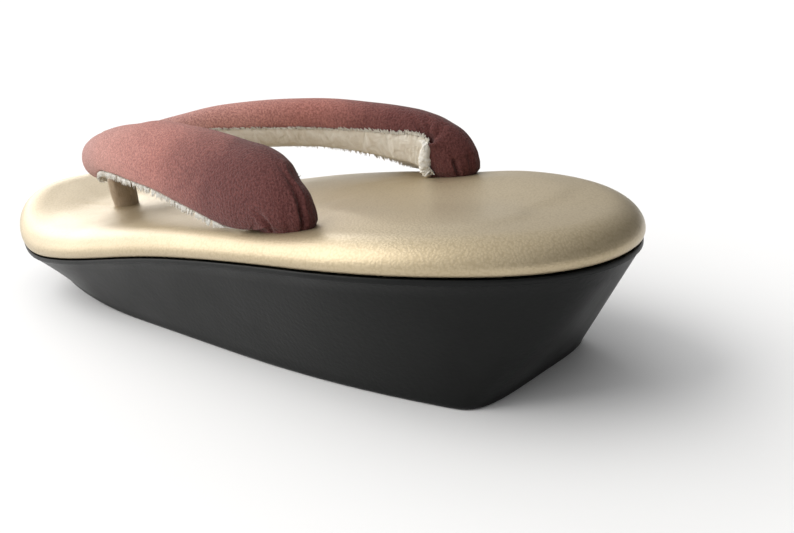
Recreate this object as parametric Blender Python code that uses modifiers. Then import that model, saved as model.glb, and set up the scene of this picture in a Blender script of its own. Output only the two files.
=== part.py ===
"""Boat-bottomed geta: a black block body, a padded gilt cover, and a thick padded V strap.

The toe points along +X, the wearer's left side is +Y and the floor is Z = 0.
"""
import math

import bmesh
import bpy
from mathutils import Vector

COLLECTION = "Geta"
CUTTERS = "Cutters"

# Clearances
GAP = 0.0003             # between pieces that lie face to face
SEAT_GAP = 0.0005        # between the strap's underside and the curved cover
HOLE_CLEARANCE = 0.0004  # round the strap's ends and the toe thong in their holes

# Body
LENGTH = 0.240
WIDTH = 0.0876          # across the rim at the heel
RIM_HEIGHT = 0.0362     # floor to the body's rim at the heel
HEEL_ROUND = 0.064      # length of the rounded heel in plan
TOE_ROUND = 0.074       # length of the rounded toe in plan
HEEL_FULLNESS = 2.05    # exponent of the heel's oval, 2 is an ellipse
TOE_FULLNESS = 2.3      # exponent of the toe's oval
LIP_HEIGHT = 0.0016     # narrow band under the cover
LIP_STEP = 0.0005       # how far that band stands out of the wall
HEEL_UNDERCUT = 0.0235  # heel tip to the rear edge of the underside
TOE_UNDERCUT = 0.006    # toe tip to the front edge of the underside
SOLE_INSET = 0.0086     # rim to the underside's edge along the sides
TREAD_WIDTH = 0.0520    # straight rear edge of the underside
TREAD_SPREAD = 0.084    # length in which that edge widens to the sides
TREAD_CORNER = 0.011    # length of the rounded corners of the rear edge
TREAD_SQUARENESS = 4.5  # exponent of those corners
SOLE_EDGE = 0.0014      # rounded edge of the underside
FLAT_LENGTH = 0.150     # heel tip to where the underside leaves the floor
TOE_LIFT = 0.0165       # underside's height at the toe

# Cover
COVER_THICKNESS = 0.0074
ROLL_DEPTH = 0.0086     # edge of the cover to its crest
COVER_TUCK = 0.0016     # height at which the roll is fullest
COVER_OVERHANG = 0.0005
CROWN = 0.0006          # rise of the cover along its middle
DISH_DEPTH = 0.0016     # hollow that the wearer's heel sits in
DISH_FROM_HEEL = 0.052  # heel tip to the middle of the hollow
DISH_LENGTH = 0.050
DISH_WIDTH = 0.030

# Strap
FOOT_FROM_HEEL = 0.0775  # heel tip to where the strap's feet enter the cover
FOOT_Y = 0.0325
TIP_FROM_TOE = 0.0360   # toe tip to the middle of the strap where its two sides meet
STRAP_RISE = 0.0253     # middle of the strap above the cover at its highest
STRAP_WIDTH = 0.0235
STRAP_THICKNESS = 0.0130
TONGUE_WIDTH = 0.0170   # end of the strap that is pulled through the cover
TONGUE_THICKNESS = 0.0085
TONGUE_DEPTH = 0.0150   # how far it reaches below the cover's top
LINING_THICKNESS = 0.0012

# Toe thong
THONG_FROM_TOE = 0.0390  # toe tip to where the thong enters the cover
THONG_LEAN = 0.0035     # how far its top lies ahead of its foot
THONG_WIDTH = 0.0090
THONG_THICKNESS = 0.0072
THONG_DEPTH = 0.0140
LOOP_WIDTH = 0.0044     # band that the thong makes round the strap's tip
LOOP_THICKNESS = 0.0020
LOOP_SLACK = 0.0021     # room inside the loop behind the tip
POST_BITE = 0.6         # share of the loop's thickness that the post reaches into

# Places along X, which follow the length
DISH_X = DISH_FROM_HEEL - LENGTH / 2
FOOT_X = FOOT_FROM_HEEL - LENGTH / 2
TIP_X = LENGTH / 2 - TIP_FROM_TOE
THONG_X = LENGTH / 2 - THONG_FROM_TOE

# Fineness of the meshes
SIDE_STATIONS = 40
ROLL_STEPS = 6
STRAP_STATIONS = 34
STRAP_POINTS = 24
LINING_STATIONS = 28
LINING_POINTS = 7
LOOP_POINTS = 28
HOLE_POINTS = 24
WALL_SHARES = (0.0, 0.35, 0.7, 1.0)      # rings of the wall, from the underside to the lip
COVER_SHARES = (0.78, 0.54, 0.28, 0.0)   # rings of the cover's top, from its crest to its middle
RIM_FAN = 0.5           # share of the rounded ends at which the flat faces start to fan out
HEEL_FAN = 0.7          # the same for the cover's top at the heel
TOE_FAN = 0.6           # the same for the cover's top at the toe
PATH_STEP = 0.004       # share of the path over which its direction is read
UPRIGHT_TO = 0.15       # share of the path up to which the strap's foot stands upright
LEVEL_FROM = 0.50       # share of the path from which the strap runs level

# Half outline of the rim: station (share of LENGTH), half width (share of WIDTH / 2)
OUTLINE = (
    (0.00, 1.00), (0.20, 1.00), (0.45, 0.975), (0.70, 0.955), (0.85, 0.965), (1.00, 0.97),
)

# Rim line from the side: station (share of LENGTH), height (share of RIM_HEIGHT)
RIM_LINE = (
    (0.00, 0.99), (0.12, 1.00), (0.25, 0.955), (0.50, 0.775), (0.75, 0.495), (0.87, 0.455), (1.00, 0.68),
)

# Left half of the strap, foot to tip: run (share of foot to tip along X), out (share of FOOT_Y),
# rise (share of STRAP_RISE above the cover), wide (share of STRAP_WIDTH),
# thick (share of STRAP_THICKNESS), lean (degrees that the outer face looks up)
STRAP_PATH = (
    (0.000, 1.000, 0.03, 0.92, 0.96, 6.0),
    (0.018, 1.003, 0.18, 0.97, 1.02, 10.0),
    (0.062, 1.005, 0.31, 1.00, 1.04, 16.0),
    (0.130, 1.000, 0.40, 1.00, 1.04, 22.0),
    (0.240, 0.965, 0.53, 0.96, 1.02, 28.0),
    (0.400, 0.870, 0.69, 0.90, 1.00, 33.0),
    (0.560, 0.740, 0.81, 0.86, 1.00, 35.0),
    (0.740, 0.560, 0.91, 0.80, 0.97, 33.0),
    (0.870, 0.405, 0.85, 0.71, 0.94, 24.0),
    (0.945, 0.310, 0.755, 0.62, 0.92, 12.0),
    (0.987, 0.170, 0.69, 0.57, 0.92, 3.0),
    (1.000, 0.000, 0.675, 0.55, 0.92, 0.0),
)
LINING_FROM = 0.115     # share of the path at which the lining starts behind the foot
LINING_TO = 0.84        # share at which it ends behind the thong's loop
LINING_HALF_ANGLE = 58.0  # degrees of the section that the lining covers, each side of its middle
LINING_MIDDLE = 222.0   # degrees round the section, where 0 is the outer face and 90 its upper edge


def curve(rows, at, column=1):
    """Smooth curve through a table's rows, read at a place in its first column."""
    last = len(rows) - 1
    if at <= rows[0][0]:
        return rows[0][column]
    if at >= rows[last][0]:
        return rows[last][column]

    def slope(i):
        low, high = max(i - 1, 0), min(i + 1, last)
        return (rows[high][column] - rows[low][column]) / (rows[high][0] - rows[low][0])

    i = max(k for k in range(last) if rows[k][0] <= at)
    step = rows[i + 1][0] - rows[i][0]
    t = (at - rows[i][0]) / step
    rise = rows[i + 1][column] - rows[i][column]
    a = slope(i) * step - rise
    b = rise - slope(i + 1) * step
    return rows[i][column] + t * rise + t * (1 - t) * (a * (1 - t) + b * t)


def rounding(distance, reach, fullness):
    """Share of the full width at a distance from a rounded end."""
    if distance >= reach:
        return 1.0
    return max(1 - (1 - distance / reach) ** fullness, 0.0) ** (1 / fullness)


def half_width(x):
    """Half width of the rim at x."""
    from_heel = x + LENGTH / 2
    heel = rounding(from_heel, HEEL_ROUND, HEEL_FULLNESS)
    toe = rounding(LENGTH - from_heel, TOE_ROUND, TOE_FULLNESS)
    return WIDTH / 2 * curve(OUTLINE, from_heel / LENGTH) * heel * toe


def rim_height(x):
    """Height of the body's rim at x."""
    return RIM_HEIGHT * curve(RIM_LINE, x / LENGTH + 0.5)


def sole_height(x):
    """Height of the underside at x: flat, then lifted at the toe."""
    past = x + LENGTH / 2 - FLAT_LENGTH
    return TOE_LIFT * (max(past, 0.0) / (LENGTH - FLAT_LENGTH)) ** 2


def cover_top(x, y):
    """Height of the cover's upper face, which is crowned a little and dished at the heel."""
    across = min(abs(y) / (WIDTH / 2), 1.0)
    reach = math.hypot((x - DISH_X) / DISH_LENGTH, y / DISH_WIDTH)
    dish = DISH_DEPTH * math.cos(min(reach, 1.0) * math.pi / 2) ** 2
    return rim_height(x) + GAP + COVER_THICKNESS + CROWN * (1 - across ** 2) - dish


def stations(count=SIDE_STATIONS):
    """Shares of a length, close together at both ends."""
    return [(1 - math.cos(math.pi * i / count)) / 2 for i in range(count + 1)]


def mirrored_ring(half):
    """Closed ring from its left half, listed heel to toe."""
    return half + [Vector((p.x, -p.y, p.z)) for p in reversed(half[1:-1])]


def rim_ring(inset, height):
    """Ring round the body, set in from the rim and at a height given by a function of x and y."""
    shares = stations()
    edge = [(LENGTH * (s - 0.5), half_width(LENGTH * (s - 0.5))) for s in shares]
    half = []
    for i, (x, y) in enumerate(edge):
        x0, y0 = edge[i - 1] if i else (edge[1][0], -edge[1][1])
        x1, y1 = edge[i + 1] if i < len(edge) - 1 else (edge[-2][0], -edge[-2][1])
        along = Vector((x1 - x0, y1 - y0)).normalized()
        px = x + along.y * inset
        py = max(y - along.x * inset, 0.0) if 0 < i < len(edge) - 1 else 0.0
        half.append(Vector((px, py, height(px, py))))
    return mirrored_ring(half)


def tread_ring(inset, lift):
    """Ring round the underside, with a straight rear edge between its two rounded corners."""
    start = -LENGTH / 2 + HEEL_UNDERCUT
    run = LENGTH - HEEL_UNDERCUT - TOE_UNDERCUT
    half = []
    for s in stations():
        x = start + run * s
        side = WIDTH / 2 * curve(OUTLINE, x / LENGTH + 0.5) - SOLE_INSET
        spread = min((x - start) / TREAD_SPREAD, 1.0)
        spread = spread * (2 - spread)
        full = side * spread + TREAD_WIDTH / 2 * (1 - spread)
        corner = rounding(x - start, TREAD_CORNER, TREAD_SQUARENESS)
        toe = rounding(start + run - x, TOE_ROUND, TOE_FULLNESS)
        y = full * corner * toe
        shrink = 1 - 2 * inset / WIDTH
        px = (x - start - run / 2) * (1 - 2 * inset / run) + start + run / 2
        half.append(Vector((px, y * shrink, sole_height(px) + lift)))
    half[0] = Vector((half[1].x, 0.0, half[1].z))
    half[-1].y = 0.0
    return mirrored_ring(half)


def spine_ring(ring, share, ends, height):
    """Ring drawn in towards the middle line, down to that line itself at share 0."""
    low, high = ends
    inner = []
    for p in ring:
        middle = Vector((min(max(p.x, low), high), 0.0, 0.0))
        x = middle.x + (p.x - middle.x) * share
        y = p.y * share
        inner.append(Vector((x, y, height(x, y))))
    return inner


def new_object(name, mesh, material, collection):
    """Object of a mesh, in a collection and with one material."""
    obj = bpy.data.objects.new(name, mesh)
    collection.objects.link(obj)
    if material:
        mesh.materials.append(material)
    return obj


def finish_mesh(name, bm, smooth_angle=40.0):
    """Mesh of a bmesh, with doubled points merged and faces turned outwards."""
    bmesh.ops.remove_doubles(bm, verts=bm.verts, dist=0.000005)
    bmesh.ops.dissolve_degenerate(bm, edges=bm.edges, dist=0.000005)
    bmesh.ops.recalc_face_normals(bm, faces=bm.faces)
    mesh = bpy.data.meshes.new(name)
    bm.to_mesh(mesh)
    bm.free()
    mesh.shade_smooth()
    mesh.set_sharp_from_angle(angle=math.radians(smooth_angle))
    return mesh


def bridge(bm, loops, first_cap=False, last_cap=False):
    """Faces between successive closed loops, and flat caps where they are asked for."""
    rings = [[bm.verts.new(p) for p in loop] for loop in loops]
    for low, high in zip(rings, rings[1:]):
        count = len(low)
        for i in range(count):
            j = (i + 1) % count
            bm.faces.new((low[i], low[j], high[j], high[i]))
    if first_cap:
        bm.faces.new(list(reversed(rings[0])))
    if last_cap:
        bm.faces.new(rings[-1])


def rim_ends():
    """Both ends of the middle line of the body's top, where its rounded ends fan out."""
    return (-LENGTH / 2 + HEEL_ROUND * RIM_FAN, LENGTH / 2 - TOE_ROUND * RIM_FAN)


def body_mesh():
    """Block body: boat-shaped wall between the underside and the rim, with a narrow lip."""
    under = tread_ring(0.0, SOLE_EDGE)
    foot = tread_ring(SOLE_EDGE, 0.0)
    wall_top = rim_ring(LIP_STEP, lambda x, y: rim_height(x) - LIP_HEIGHT)
    lip_low = rim_ring(0.0, lambda x, y: rim_height(x) - LIP_HEIGHT)
    lip_top = rim_ring(0.0, lambda x, y: rim_height(x))
    wall = [[a.lerp(b, share) for a, b in zip(under, wall_top)] for share in WALL_SHARES]
    tread_ends = (-LENGTH / 2 + HEEL_UNDERCUT + TREAD_WIDTH * RIM_FAN / 2, LENGTH / 2 - TOE_ROUND * RIM_FAN)
    loops = [spine_ring(foot, 0.0, tread_ends, lambda x, y: sole_height(x)), foot]
    loops += wall
    loops += [lip_low, lip_top, spine_ring(lip_top, 0.0, rim_ends(), lambda x, y: rim_height(x))]
    bm = bmesh.new()
    bridge(bm, loops)
    return finish_mesh("body", bm, 30.0)


def cover_mesh():
    """Padded cover: flat below, rolled over at its edge, crowned and dished above."""
    def under(x, y):
        return rim_height(x) + GAP

    base = rim_ring(0.0, under)
    loops = [spine_ring(base, 0.0, rim_ends(), under), base]
    for step in range(ROLL_STEPS + 1):
        turn = math.pi / 2 * step / ROLL_STEPS
        inset = ROLL_DEPTH * (1 - math.cos(turn)) - COVER_OVERHANG
        rise = math.sin(turn)

        def height(x, y, rise=rise):
            low = under(x, y) + COVER_TUCK
            return low + (cover_top(x, y) - low) * rise

        loops.append(rim_ring(inset, height))
    crest = loops[-1]
    loops += [spine_ring(crest, share, cover_ends(), cover_top) for share in COVER_SHARES]
    bm = bmesh.new()
    bridge(bm, loops)
    return finish_mesh("cover", bm)


def cover_ends():
    """Both ends of the cover's middle line, where its rounded ends fan out."""
    return (-LENGTH / 2 + HEEL_ROUND * HEEL_FAN, LENGTH / 2 - TOE_ROUND * TOE_FAN)


def strap_value(at, column):
    """Value of the strap's table at a share of its path, whose rows lie at even steps."""
    last = len(STRAP_PATH) - 1
    return curve([(i / last, row[column]) for i, row in enumerate(STRAP_PATH)], at)


def strap_point(at):
    """Middle of the strap's left half at a share of its path."""
    x = FOOT_X + (TIP_X - FOOT_X) * strap_value(at, 0)
    y = FOOT_Y * strap_value(at, 1)
    return Vector((x, y, cover_top(x, y) + STRAP_RISE * strap_value(at, 2)))


def strap_frame(at):
    """Middle of the strap's section, and the directions of its outer face and upper edge."""
    along = (strap_point(min(at + PATH_STEP, 1.0)) - strap_point(max(at - PATH_STEP, 0.0))).normalized()
    if at <= PATH_STEP:
        along = Vector((0.0, 0.0, 1.0))
    if at >= 1 - PATH_STEP:
        along = Vector((0.0, -1.0, 0.0))
    upright = Vector((0.0, 1.0, 0.0))
    level = Vector((-along.y, along.x, 0.0)).normalized() if at > PATH_STEP else upright
    side = upright.lerp(level, min(max((at - UPRIGHT_TO) / (LEVEL_FROM - UPRIGHT_TO), 0.0), 1.0))
    outer = (side - along * side.dot(along)).normalized()
    edge = along.cross(outer).normalized()
    lean = math.radians(strap_value(at, 5))
    faced = outer * math.cos(lean) + edge * math.sin(lean)
    return strap_point(at), faced, edge * math.cos(lean) - outer * math.sin(lean)


def strap_size(at):
    """Half width and half thickness of the strap's section."""
    return STRAP_WIDTH / 2 * strap_value(at, 3), STRAP_THICKNESS / 2 * strap_value(at, 4)


def section_point(at, degrees, depth=0.0):
    """Point on the strap's surface, or sunk below it by a depth."""
    middle, outer, edge = strap_frame(at)
    wide, thick = strap_size(at)
    turn = math.radians(degrees)
    across = outer * (math.cos(turn) * (thick - depth))
    return middle + across + edge * (math.sin(turn) * (wide - depth))


def seated(point, above=0.0):
    """Point lifted clear of the cover, and by what lies between it and the cover."""
    return Vector((point.x, point.y, max(point.z, cover_top(point.x, point.y) + SEAT_GAP + above)))


def lining_cover(at, degrees):
    """Whether the lining lies over this place of the strap."""
    turned = abs((degrees - LINING_MIDDLE + 180) % 360 - 180)
    return LINING_FROM <= at <= LINING_TO and turned <= LINING_HALF_ANGLE


def strap_mesh():
    """Left half of the strap with the seat for its lining, from its tongue to the middle plane."""
    loops = []
    tongue = []
    for a in strap_angles():
        x = FOOT_X - TONGUE_WIDTH / 2 * math.sin(a)
        y = FOOT_Y + TONGUE_THICKNESS / 2 * math.cos(a)
        tongue.append(Vector((x, y, 0.0)))
    end = cover_top(FOOT_X, FOOT_Y) - TONGUE_DEPTH
    loops.append([Vector((p.x, p.y, end)) for p in tongue])
    loops.append([seated(p) for p in tongue])
    for i in range(STRAP_STATIONS + 1):
        at = i / STRAP_STATIONS
        ring = []
        for a in strap_angles():
            depth = LINING_THICKNESS + GAP if lining_cover(at, math.degrees(a)) else 0.0
            ring.append(seated(section_point(at, math.degrees(a), depth), depth))
        loops.append(ring)
    loops[-1] = [Vector((p.x, 0.0, p.z)) for p in loops[-1]]
    bm = bmesh.new()
    bridge(bm, loops, first_cap=True)
    return finish_mesh("strap", bm, 50.0)


def strap_angles():
    """Angles round the strap's section."""
    return [2 * math.pi * k / STRAP_POINTS for k in range(STRAP_POINTS)]


def lining_mesh(side):
    """Velvet underside of one strap half, flush with the strap's face."""
    half = LINING_HALF_ANGLE - 180.0 / STRAP_POINTS
    turns = [LINING_MIDDLE - half + 2 * half * k / (LINING_POINTS - 1) for k in range(LINING_POINTS)]
    first = LINING_FROM + 0.5 / STRAP_STATIONS
    last = LINING_TO - 0.5 / STRAP_STATIONS
    loops = []
    for i in range(LINING_STATIONS + 1):
        at = first + (last - first) * i / LINING_STATIONS
        outside = [seated(section_point(at, turn)) for turn in turns]
        inside = []
        for turn in reversed(turns):
            inside.append(seated(section_point(at, turn, LINING_THICKNESS), LINING_THICKNESS))
        loops.append([Vector((p.x, p.y * side, p.z)) for p in outside + inside])
    bm = bmesh.new()
    bridge(bm, loops, first_cap=True, last_cap=True)
    return finish_mesh("lining", bm, 50.0)


def material(name, colour, roughness, metallic=0.0):
    """Plain material of one colour."""
    mat = bpy.data.materials.new(name)
    mat.use_nodes = True
    shader = mat.node_tree.nodes["Principled BSDF"]
    shader.inputs["Base Color"].default_value = (*colour, 1.0)
    shader.inputs["Roughness"].default_value = roughness
    shader.inputs["Metallic"].default_value = metallic
    return mat


def oval_cutter(name, place, size, bottom, top, lean=0.0):
    """Oval hole: a cylinder at its real size, leaning along X by a length over its height."""
    bpy.ops.mesh.primitive_cylinder_add(vertices=HOLE_POINTS, radius=0.5, depth=1.0, location=(0, 0, 0))
    cutter = bpy.context.active_object
    cutter.name = name
    for v in cutter.data.vertices:
        share = v.co.z + 0.5
        x = place[0] + v.co.x * size[0] + lean * share
        y = place[1] + v.co.y * size[1]
        v.co = Vector((x, y, bottom + (top - bottom) * share))
    for owner in list(cutter.users_collection):
        owner.objects.unlink(cutter)
    bpy.data.collections[CUTTERS].objects.link(cutter)
    cutter.hide_render = True
    cutter.display_type = "WIRE"
    return cutter


def cut(obj, cutter):
    """Boolean cut of one object by another."""
    modifier = obj.modifiers.new(cutter.name, "BOOLEAN")
    modifier.operation = "DIFFERENCE"
    modifier.object = cutter
    modifier.solver = "EXACT"


def post_top():
    """Height at which the toe thong's post ends inside its loop."""
    under_tip = strap_point(1.0).z - strap_size(1.0)[0] - GAP
    return under_tip - LOOP_THICKNESS * (1 - POST_BITE)


def loop_ring(out):
    """Oval round the strap's tip in the middle plane, a distance outside the loop's inner face."""
    middle = strap_point(1.0)
    wide, thick = strap_size(1.0)
    ring = []
    for k in range(LOOP_POINTS):
        turn = 2 * math.pi * k / LOOP_POINTS
        reach = thick + GAP + LOOP_SLACK * max(-math.cos(turn), 0.0) + out
        x = middle.x + reach * math.cos(turn)
        z = middle.z + (wide + GAP + out) * math.sin(turn)
        ring.append((x, z))
    return ring


def thong_parts(collection, mat):
    """Toe thong: an oval post, and a band that loops round the strap's tip."""
    outer, inner = loop_ring(LOOP_THICKNESS), loop_ring(0.0)
    bm = bmesh.new()
    bands = []
    for ring, side in ((outer, -1), (outer, 1), (inner, 1), (inner, -1)):
        bands.append([bm.verts.new((x, side * LOOP_WIDTH / 2, z)) for x, z in ring])
    for near, far in zip(bands, bands[1:] + bands[:1]):
        for k in range(LOOP_POINTS):
            j = (k + 1) % LOOP_POINTS
            bm.faces.new((near[k], near[j], far[j], far[k]))
    loop = new_object("toe_thong", finish_mesh("toe_thong", bm), mat, collection)
    post = oval_cutter("thong_post", (THONG_X, 0.0), (THONG_THICKNESS, THONG_WIDTH),
                       cover_top(THONG_X, 0.0) - THONG_DEPTH, post_top(), THONG_LEAN)
    join = loop.modifiers.new("post", "BOOLEAN")
    join.operation = "UNION"
    join.object = post
    join.solver = "EXACT"


def build():
    """Make the whole geta."""
    for obj in list(bpy.data.objects):
        bpy.data.objects.remove(obj)
    parts = bpy.data.collections.new(COLLECTION)
    cutters = bpy.data.collections.new(CUTTERS)
    bpy.context.scene.collection.children.link(parts)
    bpy.context.scene.collection.children.link(cutters)

    satin = material("black_satin", (0.020, 0.022, 0.021), 0.45)
    leather = material("gilt_leather", (0.47, 0.38, 0.27), 0.35, 0.3)
    crepe = material("mauve_crepe", (0.27, 0.12, 0.11), 0.85)
    body = new_object("body", body_mesh(), satin, parts)
    cover = new_object("cover", cover_mesh(), leather, parts)
    strap = new_object("strap", strap_mesh(), crepe, parts)
    mirror = strap.modifiers.new("right_half", "MIRROR")
    mirror.use_axis = (False, True, False)
    mirror.merge_threshold = 0.00005
    velvet = material("white_velvet", (0.80, 0.77, 0.71), 0.95)
    for name, side in (("lining_left", 1), ("lining_right", -1)):
        new_object(name, lining_mesh(side), velvet, parts)
    thong_parts(parts, material("thong_cloth", (0.42, 0.33, 0.25), 0.8))

    tongue_size = (TONGUE_WIDTH + 2 * HOLE_CLEARANCE, TONGUE_THICKNESS + 2 * HOLE_CLEARANCE)
    deck = cover_top(FOOT_X, FOOT_Y)
    for name, side in (("left_hole", 1), ("right_hole", -1)):
        hole = oval_cutter(name, (FOOT_X, side * FOOT_Y), tongue_size,
                           deck - TONGUE_DEPTH - HOLE_CLEARANCE, deck + COVER_THICKNESS)
        cut(body, hole)
        cut(cover, hole)
    front = cover_top(THONG_X, 0.0)
    slope = THONG_LEAN / (post_top() - front + THONG_DEPTH)
    bottom = front - THONG_DEPTH - HOLE_CLEARANCE
    hole = oval_cutter("front_hole", (THONG_X - slope * HOLE_CLEARANCE, 0.0),
                       (THONG_THICKNESS + 2 * HOLE_CLEARANCE, THONG_WIDTH + 2 * HOLE_CLEARANCE),
                       bottom, front + COVER_THICKNESS, slope * (front + COVER_THICKNESS - bottom))
    cut(body, hole)
    cut(cover, hole)


build()
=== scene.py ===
"""Looks of a boat-bottomed geta with a padded gilt cover and a thick crepe strap.

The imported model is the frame. Every piece is made again in its own place: a smooth black block, the
padded cover, the wadded strap, its two velvet linings and the toe thong.
The toe points along +X, the wearer's left side is +Y and the floor is Z = 0, in metres.
"""
import logging
import math
import random
from dataclasses import dataclass, field
from enum import Enum
from typing import Callable, Iterable, Optional, Sequence

import bmesh
import bpy
from mathutils import Matrix, Vector, noise


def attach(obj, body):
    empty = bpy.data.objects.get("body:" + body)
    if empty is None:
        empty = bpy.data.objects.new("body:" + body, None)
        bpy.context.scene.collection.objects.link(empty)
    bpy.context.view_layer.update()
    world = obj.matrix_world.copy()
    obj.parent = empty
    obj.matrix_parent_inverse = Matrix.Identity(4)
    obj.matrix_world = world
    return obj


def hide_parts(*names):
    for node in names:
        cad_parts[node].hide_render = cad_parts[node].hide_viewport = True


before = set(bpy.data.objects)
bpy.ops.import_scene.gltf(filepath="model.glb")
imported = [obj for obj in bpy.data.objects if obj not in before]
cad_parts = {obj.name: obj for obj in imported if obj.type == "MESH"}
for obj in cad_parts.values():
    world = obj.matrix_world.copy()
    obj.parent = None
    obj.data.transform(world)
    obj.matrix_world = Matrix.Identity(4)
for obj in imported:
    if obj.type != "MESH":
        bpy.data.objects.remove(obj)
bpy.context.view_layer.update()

LOG = logging.getLogger("geta")
PHOTO_WIDTH = 794

Rows = tuple[tuple[float, ...], ...]
Colour = tuple[float, float, float]
Ring = list[Vector]


class Side(Enum):
    """Half of the strap, by the sign of its Y."""

    LEFT = 1
    RIGHT = -1

    def place(self, point: Vector) -> Vector:
        """Point of the left half, moved to this half."""
        return Vector((point.x, point.y * self.value, point.z))


# Shapes shared by the pieces


@dataclass(frozen=True)
class Table:
    """Smooth curve through rows of numbers, read by the first column."""

    rows: Rows

    def read(self, at: float, column: int = 1) -> float:
        """Read the curve.

        Args:
            at: place in the first column.
            column: column to read.

        Returns:
            The value there, held at the ends.
        """
        rows, last = self.rows, len(self.rows) - 1
        if at <= rows[0][0]:
            return rows[0][column]
        if at >= rows[last][0]:
            return rows[last][column]
        i = max(k for k in range(last) if rows[k][0] <= at)
        step = rows[i + 1][0] - rows[i][0]
        rise = rows[i + 1][column] - rows[i][column]
        t = (at - rows[i][0]) / step
        a = self.slope(i, column) * step - rise
        b = rise - self.slope(i + 1, column) * step
        return rows[i][column] + t * rise + t * (1 - t) * (a * (1 - t) + b * t)

    def slope(self, i: int, column: int) -> float:
        """Slope of the curve at row i."""
        low, high = max(i - 1, 0), min(i + 1, len(self.rows) - 1)
        return (self.rows[high][column] - self.rows[low][column]) / (self.rows[high][0] - self.rows[low][0])


def rounding(distance: float, reach: float, fullness: float) -> float:
    """Share of the full width at a distance from a rounded end.

    Args:
        distance: distance from the tip.
        reach: length of the rounded end.
        fullness: exponent of its oval.

    Returns:
        A share from 0 to 1.
    """
    if distance >= reach:
        return 1.0
    return max(1 - (1 - max(distance, 0.0) / reach) ** fullness, 0.0) ** (1 / fullness)


def ease(value: float) -> float:
    """Smooth step from 0 to 1 as value goes from 0 to 1."""
    t = min(max(value, 0.0), 1.0)
    return t * t * (3 - 2 * t)


def turns(count: int) -> list[float]:
    """Angles of evenly spaced points round a circle."""
    return [2 * math.pi * k / count for k in range(count)]


@dataclass(frozen=True)
class BlockShape:
    """Plan outline and rim line of the block, which the padded cover follows."""

    length: float = 0.240
    width: float = 0.0876
    rim: float = 0.0362
    heel_round: float = 0.064
    toe_round: float = 0.074
    heel_fullness: float = 2.05
    toe_fullness: float = 2.3
    heel_undercut: float = 0.0235
    toe_undercut: float = 0.006
    sole_inset: float = 0.0086
    tread_width: float = 0.0520
    tread_spread: float = 0.084
    tread_corner: float = 0.011
    tread_squareness: float = 4.5
    flat_length: float = 0.150
    toe_lift: float = 0.0165
    outline: Table = Table((
        (0.00, 1.00), (0.20, 1.00), (0.45, 0.975), (0.70, 0.955), (0.85, 0.965), (1.00, 0.97),
    ))
    rim_line: Table = Table((
        (0.00, 0.99), (0.12, 1.00), (0.25, 0.955), (0.50, 0.775), (0.75, 0.495), (0.87, 0.455), (1.00, 0.68),
    ))
    heel_fan: float = 0.7
    toe_fan: float = 0.6

    def half_width(self, x: float) -> float:
        """Half width of the rim at x."""
        at = x + self.length / 2
        heel = rounding(at, self.heel_round, self.heel_fullness)
        toe = rounding(self.length - at, self.toe_round, self.toe_fullness)
        return self.width / 2 * self.outline.read(at / self.length) * heel * toe

    def rim_height(self, x: float) -> float:
        """Height of the rim at x."""
        return self.rim * self.rim_line.read(x / self.length + 0.5)

    def sole_height(self, x: float) -> float:
        """Height of the underside at x: flat, then lifted at the toe."""
        past = x + self.length / 2 - self.flat_length
        return self.toe_lift * (max(past, 0.0) / (self.length - self.flat_length)) ** 2

    def tread_ring(self, inset: float, lift: float, count: int) -> Ring:
        """Closed ring of points round the underside.

        Args:
            inset: how far inside the underside's edge it lies.
            lift: height above the underside.
            count: steps from heel to toe.

        Returns:
            The points, in the order of rim_ring.
        """
        start = -self.length / 2 + self.heel_undercut
        run = self.length - self.heel_undercut - self.toe_undercut
        half: Ring = []
        for i in range(count + 1):
            s = (1 - math.cos(math.pi * i / count)) / 2
            x = start + run * s
            side = self.width / 2 * self.outline.read(x / self.length + 0.5) - self.sole_inset
            spread = min((x - start) / self.tread_spread, 1.0)
            spread = spread * (2 - spread)
            full = side * spread + self.tread_width / 2 * (1 - spread)
            corner = rounding(x - start, self.tread_corner, self.tread_squareness)
            toe = rounding(start + run - x, self.toe_round, self.toe_fullness)
            y = full * corner * toe if 0 < i < count else 0.0
            px = start + run / 2 + (x - start - run / 2) * (1 - 2 * inset / run)
            half.append(Vector((px, y * (1 - 2 * inset / self.width), self.sole_height(px) + lift)))
        half[0].x = half[1].x
        return half + [Vector((p.x, -p.y, p.z)) for p in reversed(half[1:-1])]

    def rim_ring(self, inset: float, height: Callable[[float, float], float], count: int) -> Ring:
        """Closed ring of points round the block.

        Args:
            inset: how far inside the rim it lies.
            height: height as a function of x and y.
            count: steps from heel to toe.

        Returns:
            The points, from the heel along the left side to the toe and back.
        """
        shares = [(1 - math.cos(math.pi * i / count)) / 2 for i in range(count + 1)]
        edge = [(self.length * (s - 0.5), self.half_width(self.length * (s - 0.5))) for s in shares]
        half: Ring = []
        for i, (x, y) in enumerate(edge):
            x0, y0 = edge[i - 1] if i else (edge[1][0], -edge[1][1])
            x1, y1 = edge[i + 1] if i < count else (edge[-2][0], -edge[-2][1])
            along = Vector((x1 - x0, y1 - y0)).normalized()
            px = x + along.y * inset
            py = max(y - along.x * inset, 0.0) if 0 < i < count else 0.0
            half.append(Vector((px, py, height(px, py))))
        return half + [Vector((p.x, -p.y, p.z)) for p in reversed(half[1:-1])]

    def inner_ring(self, ring: Ring, share: float, height: Callable[[float, float], float]) -> Ring:
        """Ring drawn in towards the middle line.

        Args:
            ring: the outer ring.
            share: 1 at that ring, 0 on the middle line.
            height: height as a function of x and y.

        Returns:
            The drawn-in ring.
        """
        low = -self.length / 2 + self.heel_round * self.heel_fan
        high = self.length / 2 - self.toe_round * self.toe_fan
        drawn: Ring = []
        for p in ring:
            middle = min(max(p.x, low), high)
            x, y = middle + (p.x - middle) * share, p.y * share
            drawn.append(Vector((x, y, height(x, y))))
        return drawn


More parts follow.
